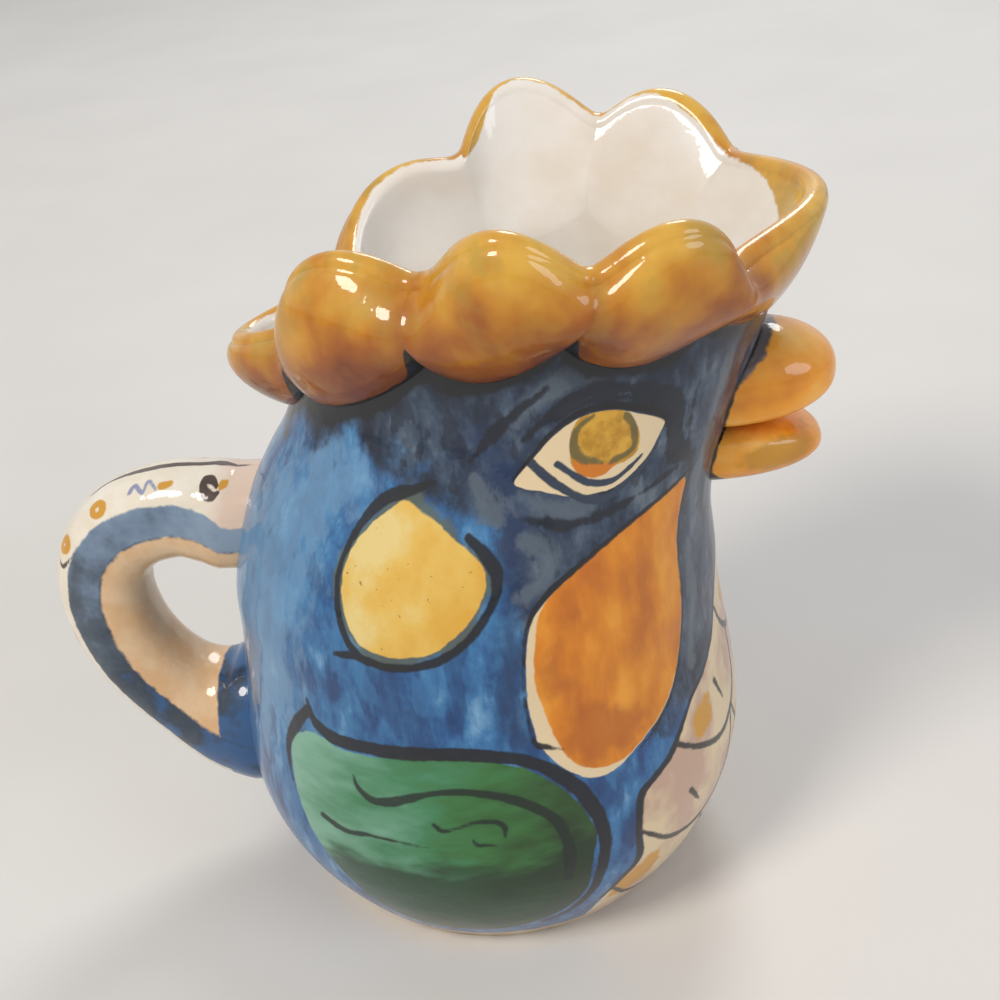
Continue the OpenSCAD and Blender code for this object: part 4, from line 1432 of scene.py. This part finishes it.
@dataclass
class Beak:
    """Upper and lower beak: blunt domes drawn out of the face."""

    wall: Wall
    finishes: Finishes
    mouth_h: float = 29.2
    # Length, width and height of each half
    upper: Spot = (16.5, 25.0, 17.0)
    lower: Spot = (19.0, 23.0, 12.0)
    bluntness: float = 2.2
    flatness: float = 0.35
    columns: int = 128
    root_rings: int = 10
    nose_rings: int = 56

    # Slate on top of the upper root: how far it runs ahead, from what height over the mouth, over
    # how many mm; ink under the lower root in the same way, below the mouth
    SMEAR, UNDER = (2.6, 10, 4), (3, 7, 3)
    # Olive on the lower half's flank: how far ahead of the face and over the mouth, then its half
    # length and half height
    TONGUE = (11, -5, 6, 3)

    def root(self, r: np.ndarray, middle: float, side: int, size: Spot) -> np.ndarray:
        """Rings of the root on the face: ellipses whose half at the mouth is flattened by a power.

        Args:
            r: Share of the root's own size for each ring.
            middle: Height of its middle.
            side: 1 above the mouth, -1 below it.
            size: Length, width and height.

        Returns:
            Points by ring and turn.
        """
        turn = turns(self.columns)
        rise = np.sin(turn)
        rise = np.where(rise * side < 0, np.sign(rise) * np.abs(rise) ** self.flatness, rise)
        y = size[1] / 2 * r[:, None] * np.cos(turn)
        z = middle + size[2] / 2 * r[:, None] * rise
        return np.stack([self.wall.face(y, z, 1), y, z], -1)

    def marks(self, points: np.ndarray, mouth_z: float, side: int) -> dict[str, np.ndarray]:
        """Distances to the marks: mouth line, root line, slate smear and olive tongue.

        Args:
            points: Points of the skin.
            mouth_z: Height of the mouth.
            side: 1 above the mouth, -1 below it.

        Returns:
            One array for each mark.
        """
        rim_z = points[:, 2] - mouth_z
        proud = points[:, 0] - self.wall.face(points[:, 1], points[:, 2], 1)
        nowhere = np.full(len(points), FAR)
        if side > 0:
            reach, start, over = self.SMEAR
            smear = proud - reach * np.clip((rim_z - start) / over, 0, 1)
            return {"mouth": rim_z, "root": proud, "smear": smear, "tongue": nowhere}
        ahead, high, half_x, half_z = self.TONGUE
        tongue = half_z * (np.hypot((proud - ahead) / half_x, (rim_z - high) / half_z) - 1)
        reach, start, over = self.UNDER
        root = proud - reach * np.clip((-rim_z - start) / over, 0, 1)
        return {"mouth": -rim_z, "root": root, "smear": nowhere, "tongue": tongue}

    def build_half(self, node: str, side: int, size: Spot) -> None:
        """One half: its root on the face, drawn ahead by (1 - r^b)^(1/2) at share r of the root.

        Args:
            node: CAD node.
            side: 1 above the mouth, -1 below it.
            size: Length, width and height.
        """
        mouth_z = self.wall.seam_z + self.mouth_h
        middle = mouth_z + side * size[2] / 2
        base = self.wall.face(0.0, middle, 1)
        tip = base + size[0]
        rings = self.nose_rings
        nose = np.cos(np.radians(np.linspace(90 / rings, 90, rings, endpoint=False)))
        ahead = self.root(nose, middle, side, size)
        lift = np.sqrt(1 - nose**self.bluntness)[:, None]
        ahead[..., 0] = mix(ahead[..., 0], tip, lift)
        flat = self.root(np.linspace(0.1, 1, self.root_rings), middle, side, size)
        grid = np.concatenate([flat, ahead])
        points = np.vstack([grid.reshape(-1, 3), [[base, 0, middle], [tip, 0, middle]]])
        skin = Skin(points, tube(len(grid), self.columns), self.marks(points, mouth_z, side))
        skin.dress(f"{node}_painted", node, "beak_glaze", self.finishes.beak)

    def build(self) -> None:
        """Builds both halves."""
        self.build_half("upper_beak", 1, self.upper)
        self.build_half("lower_beak", -1, self.lower)


@dataclass
class Handle:
    """Thick pulled roll from the nape to the belly, with spread roots.

    Reach and thickness are a hair under the CAD's, so that the finer skin stays inside its box.
    """

    wall: Wall
    finishes: Finishes
    reach: float = 28.99
    high: float = 81.4
    low: float = 31.5
    width: float = 17.0
    thickness: float = 18.49
    upper_root: float = 0.15
    lower_root: float = 0.6
    root_length: float = 0.14
    squareness: float = 2.4
    # Length of the painted sheet and its radius round the section, how deep the roots go into the
    # wall, and the x behind which the lower root is blue
    length: float = 118.0
    girth: float = 9.4
    sink: float = 0.25
    blue_x: float = -55.0
    rows: int = 260
    columns: int = 128
    root_rings: int = 5

    # Shares of reach behind the seam, and of the way up from the lower root to the upper run
    PATH = np.array([
        [0.00, 0.94], [0.16, 0.965], [0.39, 0.98], [0.70, 0.93], [0.92, 0.81], [1.00, 0.64],
        [0.96, 0.45], [0.83, 0.28], [0.61, 0.13], [0.35, 0.035], [0.05, 0.00],
    ])
    # Edges of the blue band, in mm round the section, by share of the length
    BAND_SHARES = (0, 0.12, 0.3, 0.5, 0.8, 1)
    BAND_LOW = (12.7, 10.2, 9.4, 9.2, 8.9, 8.8)
    BAND_HIGH = (17.8, 16.4, 16.3, 16.2, 15.8, 14.4)
    # How far the tan side comes under the band, half the width of the band's dark line, and how
    # far the rosy tint comes from the nape, all in mm
    LAP, LINE_HALF, NAPE = 0.5, 0.2, 5
    # A ring's middle line as a share of its size, and half its width in mm
    RING_SHARE, RING_HALF = 0.8, 0.75
    # Rings as way along, way round and size; strokes as ways along and round with their width
    RINGS = [
        (36, -6.6, 1.5), (46.5, -6.2, 1.4), (15, 5.6, 1.5), (57, 4.5, 1.6), (68, -5, 1.5), (80, 4.6, 1.5),
        (93, -4.2, 1.4),
    ]
    STROKES = {
        "ochre": [
            [(2.5, -4.8, 1.8), (4.8, -5.2, 2.2)],
            [(20.6, -5.6, 1.2), (22.2, -6.2, 1.8)],
            [(30, 5, 1.4), (32, 5.6, 2)],
        ],
        "lilac": [
            [(23.4, -6.8, 0.7), (25, -4.6, 0.9), (26.4, -6.8, 0.9), (28, -4.8, 0.9), (29.2, -6.4, 0.6)],
            [(62, -5, 0.7), (63.6, -3.2, 0.9), (65, -5.2, 0.6)],
        ],
        "brown": [
            [(5.2, -6.9, 0.9), (7.6, -7.7, 1.9), (10.6, -6.7, 2.6), (11.2, -4.9, 2.2), (8.6, -4.5, 2),
             (6.6, -5.6, 1.1)],
            [(0.6, 0.7, 0.9), (8, 1, 2), (15, 0.4, 1.4), (24, -0.2, 1.9), (33, 0.2, 1.2), (38, -0.6, 0.5)],
            [(47.5, -9.2, 0.4), (50.5, -7.6, 0.8), (49.5, -5.2, 0.4)],
            [(52, -2, 0.5), (55, 1, 1.2), (52.5, 3.5, 0.5)],
            [(73, 2.5, 0.5), (76, 0, 1.2), (73.5, -2.5, 0.5)],
            [(85, -3, 0.5), (88, -0.5, 1.2), (85.5, 2.5, 0.5)],
            [(98, 2.2, 0.5), (101, 0, 1.1), (98.5, -2.2, 0.5)],
        ],
    }

    def middle(self, t: np.ndarray) -> np.ndarray:
        """Middle line at share t of its length, as x and z: a Hermite curve through PATH."""
        table = np.column_stack([np.arange(len(self.PATH)), self.PATH])
        key = t * (len(self.PATH) - 1)
        x = -self.wall.seam_d / 2 - self.reach * smooth(table, 1, key)
        return np.stack([x, mix(self.low, self.high, smooth(table, 2, key))], -1)

    def rings(self, t: np.ndarray, share: np.ndarray, step: float = 0.02) -> np.ndarray:
        """Rings square to the middle line: superellipses of width and thickness, spread at the roots.

        Args:
            t: Shares of the length.
            share: How far each ring is drawn in, 1 for the full section.
            step: Share of the length over which the line's direction is taken.

        Returns:
            Points by ring and turn.
        """
        way = self.middle(np.minimum(t + step, 1)) - self.middle(np.maximum(t - step, 0))
        way = way / np.linalg.norm(way, axis=1, keepdims=True)
        spread = 1 + self.upper_root * np.exp(-((t / self.root_length) ** 2))
        spread = spread + self.lower_root * np.exp(-(((1 - t) / self.root_length) ** 2))
        turn, n = turns(self.columns), self.squareness
        c, s = np.cos(turn), np.sin(turn)
        size = (spread * share)[:, None] / (np.abs(c) ** n + np.abs(s) ** n) ** (1 / n)
        lift = self.thickness / 2 * size * c
        mid = self.middle(t)
        x, z = mid[:, :1] + way[:, 1:] * lift, mid[:, 1:] - way[:, :1] * lift
        return np.stack([x, self.width / 2 * size * s, z], -1)

    def build(self) -> None:
        """Builds the handle: rings along the path, the end rings slid level on to the wall."""
        wall, ends = self.wall, self.root_rings
        drawn_in = np.arange(1, ends + 1) / ends
        t = np.linspace(0, 1, self.rows + 1)[1:-1]
        upper, lower = self.rings(np.zeros(ends), drawn_in), self.rings(np.ones(ends), drawn_in[::-1])
        upper[..., 0] = wall.face(upper[..., 1], upper[..., 2], -1) + self.sink
        lower[..., 0] = wall.belly_back(lower[..., 1], lower[..., 2]) + self.sink
        # The roll goes no deeper into the wall than its roots
        roll = self.rings(t, np.ones(len(t)))
        y, z = roll[..., 1], roll[..., 2]
        above = wall.face(y, np.maximum(z, wall.seam_z), -1)
        below = wall.belly_back(y, np.minimum(z, wall.seam_z))
        roll[..., 0] = np.minimum(roll[..., 0], np.where(z > wall.seam_z, above, below) + self.sink)
        grid = np.concatenate([upper, roll, lower])
        top, foot = self.middle(np.array([0.0, 1.0]))[:, 1]
        first = [wall.face(0.0, top, -1) + self.sink, 0, top]
        last = [wall.belly_back(np.zeros(1), foot)[0] + self.sink, 0, foot]
        points = np.vstack([grid.reshape(-1, 3), [first, last]])
        shares = np.concatenate([np.zeros(ends), t, np.ones(ends)])
        along = np.concatenate([np.repeat(shares, self.columns), [0, 1]])
        turn = (turns(self.columns) + np.pi) % (2 * np.pi) - np.pi
        way_round = np.concatenate([np.tile(turn, len(grid)), [0, 0]])
        skin = Skin(points, tube(len(grid), self.columns), self.marks(along, way_round, points[:, 0]))
        skin.dress("handle_painted", "handle", "handle_glaze", self.finishes.handle)

    def marks(self, share: np.ndarray, turn: np.ndarray, x: np.ndarray) -> dict[str, np.ndarray]:
        """Distances to the handle's bands, rings and curls.

        Args:
            share: Way from the upper root, as a share of the length.
            turn: Angle round the section, 0 on the outer side.
            x: Place along X in mm.

        Returns:
            One array for each mark.
        """
        where = np.stack([share * self.length, turn * self.girth], -1)
        side = np.abs(where[:, 1])
        low = np.interp(share, self.BAND_SHARES, self.BAND_LOW)
        high = np.interp(share, self.BAND_SHARES, self.BAND_HIGH)
        # The lower root is blue all round
        root = np.where(share > 0.5, self.blue_x - x, FAR)
        marks = drawn(stroke_distance, self.STROKES, where, 1)
        ways = [np.hypot(*(where - row[:2]).T) - self.RING_SHARE * row[2] for row in np.array(self.RINGS)]
        return {
            **marks,
            "ochre": np.minimum(np.min(np.abs(ways), axis=0) - self.RING_HALF, marks["ochre"]),
            "band": np.minimum(np.abs(side - (low + high) / 2) - (high - low) / 2, root),
            "inner": high - self.LAP - side,
            "lines": np.abs(side - high) - self.LINE_HALF,
            "nape": where[:, 0] - self.NAPE,
            "along": share,
        }


# Stage


@dataclass(frozen=True)
class Studio:
    """Pale table, soft lamps and the camera at the photograph's angle."""

    azimuth: float = 7.6
    elevation: float = 29.0
    roll: float = -6.6
    distance: float = 292.0
    target: Spot = (6.1, 0.0, 78.5)
    # Focal length in pixels of a frame 1000 wide, and width of the film in mm
    focal_px: float = 1520.0
    film: float = 36.0
    # Sky as it lights the jug and as it is seen, with strengths
    sky: tuple[str, float] = ("#E6E7EA", 0.42)
    seen_sky: tuple[str, float] = ("#EFEFF0", 0.9)
    table_rings: tuple[float, ...] = (400.0, 1200.0, 2500.0, 4000.0)

    # Name, place and width in metres, watts and tone of each soft round lamp
    LAMPS = (
        ("key_lamp", (-0.68, -0.83, 1.13), 0.5, 12.5, "#FFF6EC"),
        ("fill_lamp", (1.13, -0.68, 0.68), 0.75, 5.6, "#F2F6FF"),
        ("back_lamp", (0.15, 1.05, 1.05), 0.55, 6.5, "#FFFFFF"),
    )
    # Middle of the jug, at which the lamps look, in metres
    JUG = Vector((0, 0, 0.07))

    def aim(self) -> None:
        """Camera: its axes from azimuth, elevation and roll, and its lens from the focal length."""
        a, e, r = np.radians([self.azimuth, self.elevation, self.roll])
        back = np.array([np.sin(a) * np.cos(e), -np.cos(a) * np.cos(e), np.sin(e)])
        right = np.cross(-back, [0, 0, 1.0])
        right = right / np.linalg.norm(right)
        up = np.cross(back, right)
        axes = [np.cos(r) * right + np.sin(r) * up, -np.sin(r) * right + np.cos(r) * up, back]
        data = bpy.data.cameras.new("camera")
        data.sensor_width = self.film
        data.lens = self.focal_px / 1000 * self.film
        data.clip_start, data.clip_end = 0.01, 20.0
        camera = bpy.data.objects.new("camera", data)
        place = (np.array(self.target) + back * self.distance) * MM
        camera.matrix_world = Matrix.Translation(Vector(place)) @ Matrix(np.array(axes).T.tolist()).to_4x4()
        bpy.context.scene.collection.objects.link(camera)
        bpy.context.scene.camera = camera

    def hang_lamps(self) -> None:
        """Soft round lamps that look at the jug."""
        for name, place, size, power, tone in self.LAMPS:
            data = bpy.data.lights.new(name, "AREA")
            data.shape, data.size, data.energy = "DISK", size, power
            data.color = colour(tone)[:3]
            lamp = bpy.data.objects.new(name, data)
            lamp.location = place
            lamp.rotation_euler = (self.JUG - Vector(place)).to_track_quat("-Z", "Y").to_euler()
            bpy.context.scene.collection.objects.link(lamp)

    def lay_table(self, finishes: Finishes) -> None:
        """Tabletop: a wide disc of rings of points, at height 0."""
        radii, columns = np.array(self.table_rings)[:, None], 64
        rows, turn = len(radii), turns(columns)
        grid = np.stack([radii * np.cos(turn), radii * np.sin(turn), np.zeros((rows, columns))], -1)
        points = np.vstack([grid.reshape(-1, 3), [[0, 0, 0]]])
        skin = Skin(points, [quads(rows, columns, False, True), fan(0, columns, rows * columns, True)])
        table = skin.lay("tabletop", [finishes.table])
        if table.data.polygons[0].normal.z < 0:
            table.data.flip_normals()

    def spread_sky(self) -> None:
        """World: an even grey sky that looks pale where the camera, gloss or clear matter sees it."""
        world = bpy.data.worlds.new("studio")
        bpy.context.scene.world = world
        world.use_nodes = True
        nodes, links = world.node_tree.nodes, world.node_tree.links
        nodes.clear()
        kinds = ("ShaderNodeLightPath", "ShaderNodeMixShader", "ShaderNodeOutputWorld")
        path, blend, out = (nodes.new(kind) for kind in kinds)
        for number, (tone, strength) in ((1, self.sky), (2, self.seen_sky)):
            light = nodes.new("ShaderNodeBackground")
            light.inputs["Color"].default_value = colour(tone)
            light.inputs["Strength"].default_value = strength
            links.new(light.outputs[0], blend.inputs[number])
        shown = path.outputs["Is Camera Ray"]
        for ray in ("Is Glossy Ray", "Is Transmission Ray"):
            either = nodes.new("ShaderNodeMath")
            either.operation = "MAXIMUM"
            links.new(shown, either.inputs[0])
            links.new(path.outputs[ray], either.inputs[1])
            shown = either.outputs[0]
        links.new(shown, blend.inputs[0])
        links.new(blend.outputs[0], out.inputs["Surface"])

    def build(self, finishes: Finishes) -> None:
        """Sets the stage."""
        bpy.context.scene.view_settings.view_transform = "Standard"
        self.aim()
        self.spread_sky()
        self.hang_lamps()
        self.lay_table(finishes)


def main() -> None:
    """Builds every sub-assembly in order over the CAD frame, and reports it."""
    finishes, wall = Finishes(), Wall()
    comb = CombForm(wall)
    parts = (Pot(wall, comb, finishes), Comb(comb, finishes), Beak(wall, finishes), Handle(wall, finishes))
    for part in parts:
        part.build()
        LOG.info("%s: all pieces in place", type(part).__name__.lower())
    Studio().build(finishes)


if __name__ == "__main__":
    logging.basicConfig(level=logging.INFO)
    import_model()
    main()
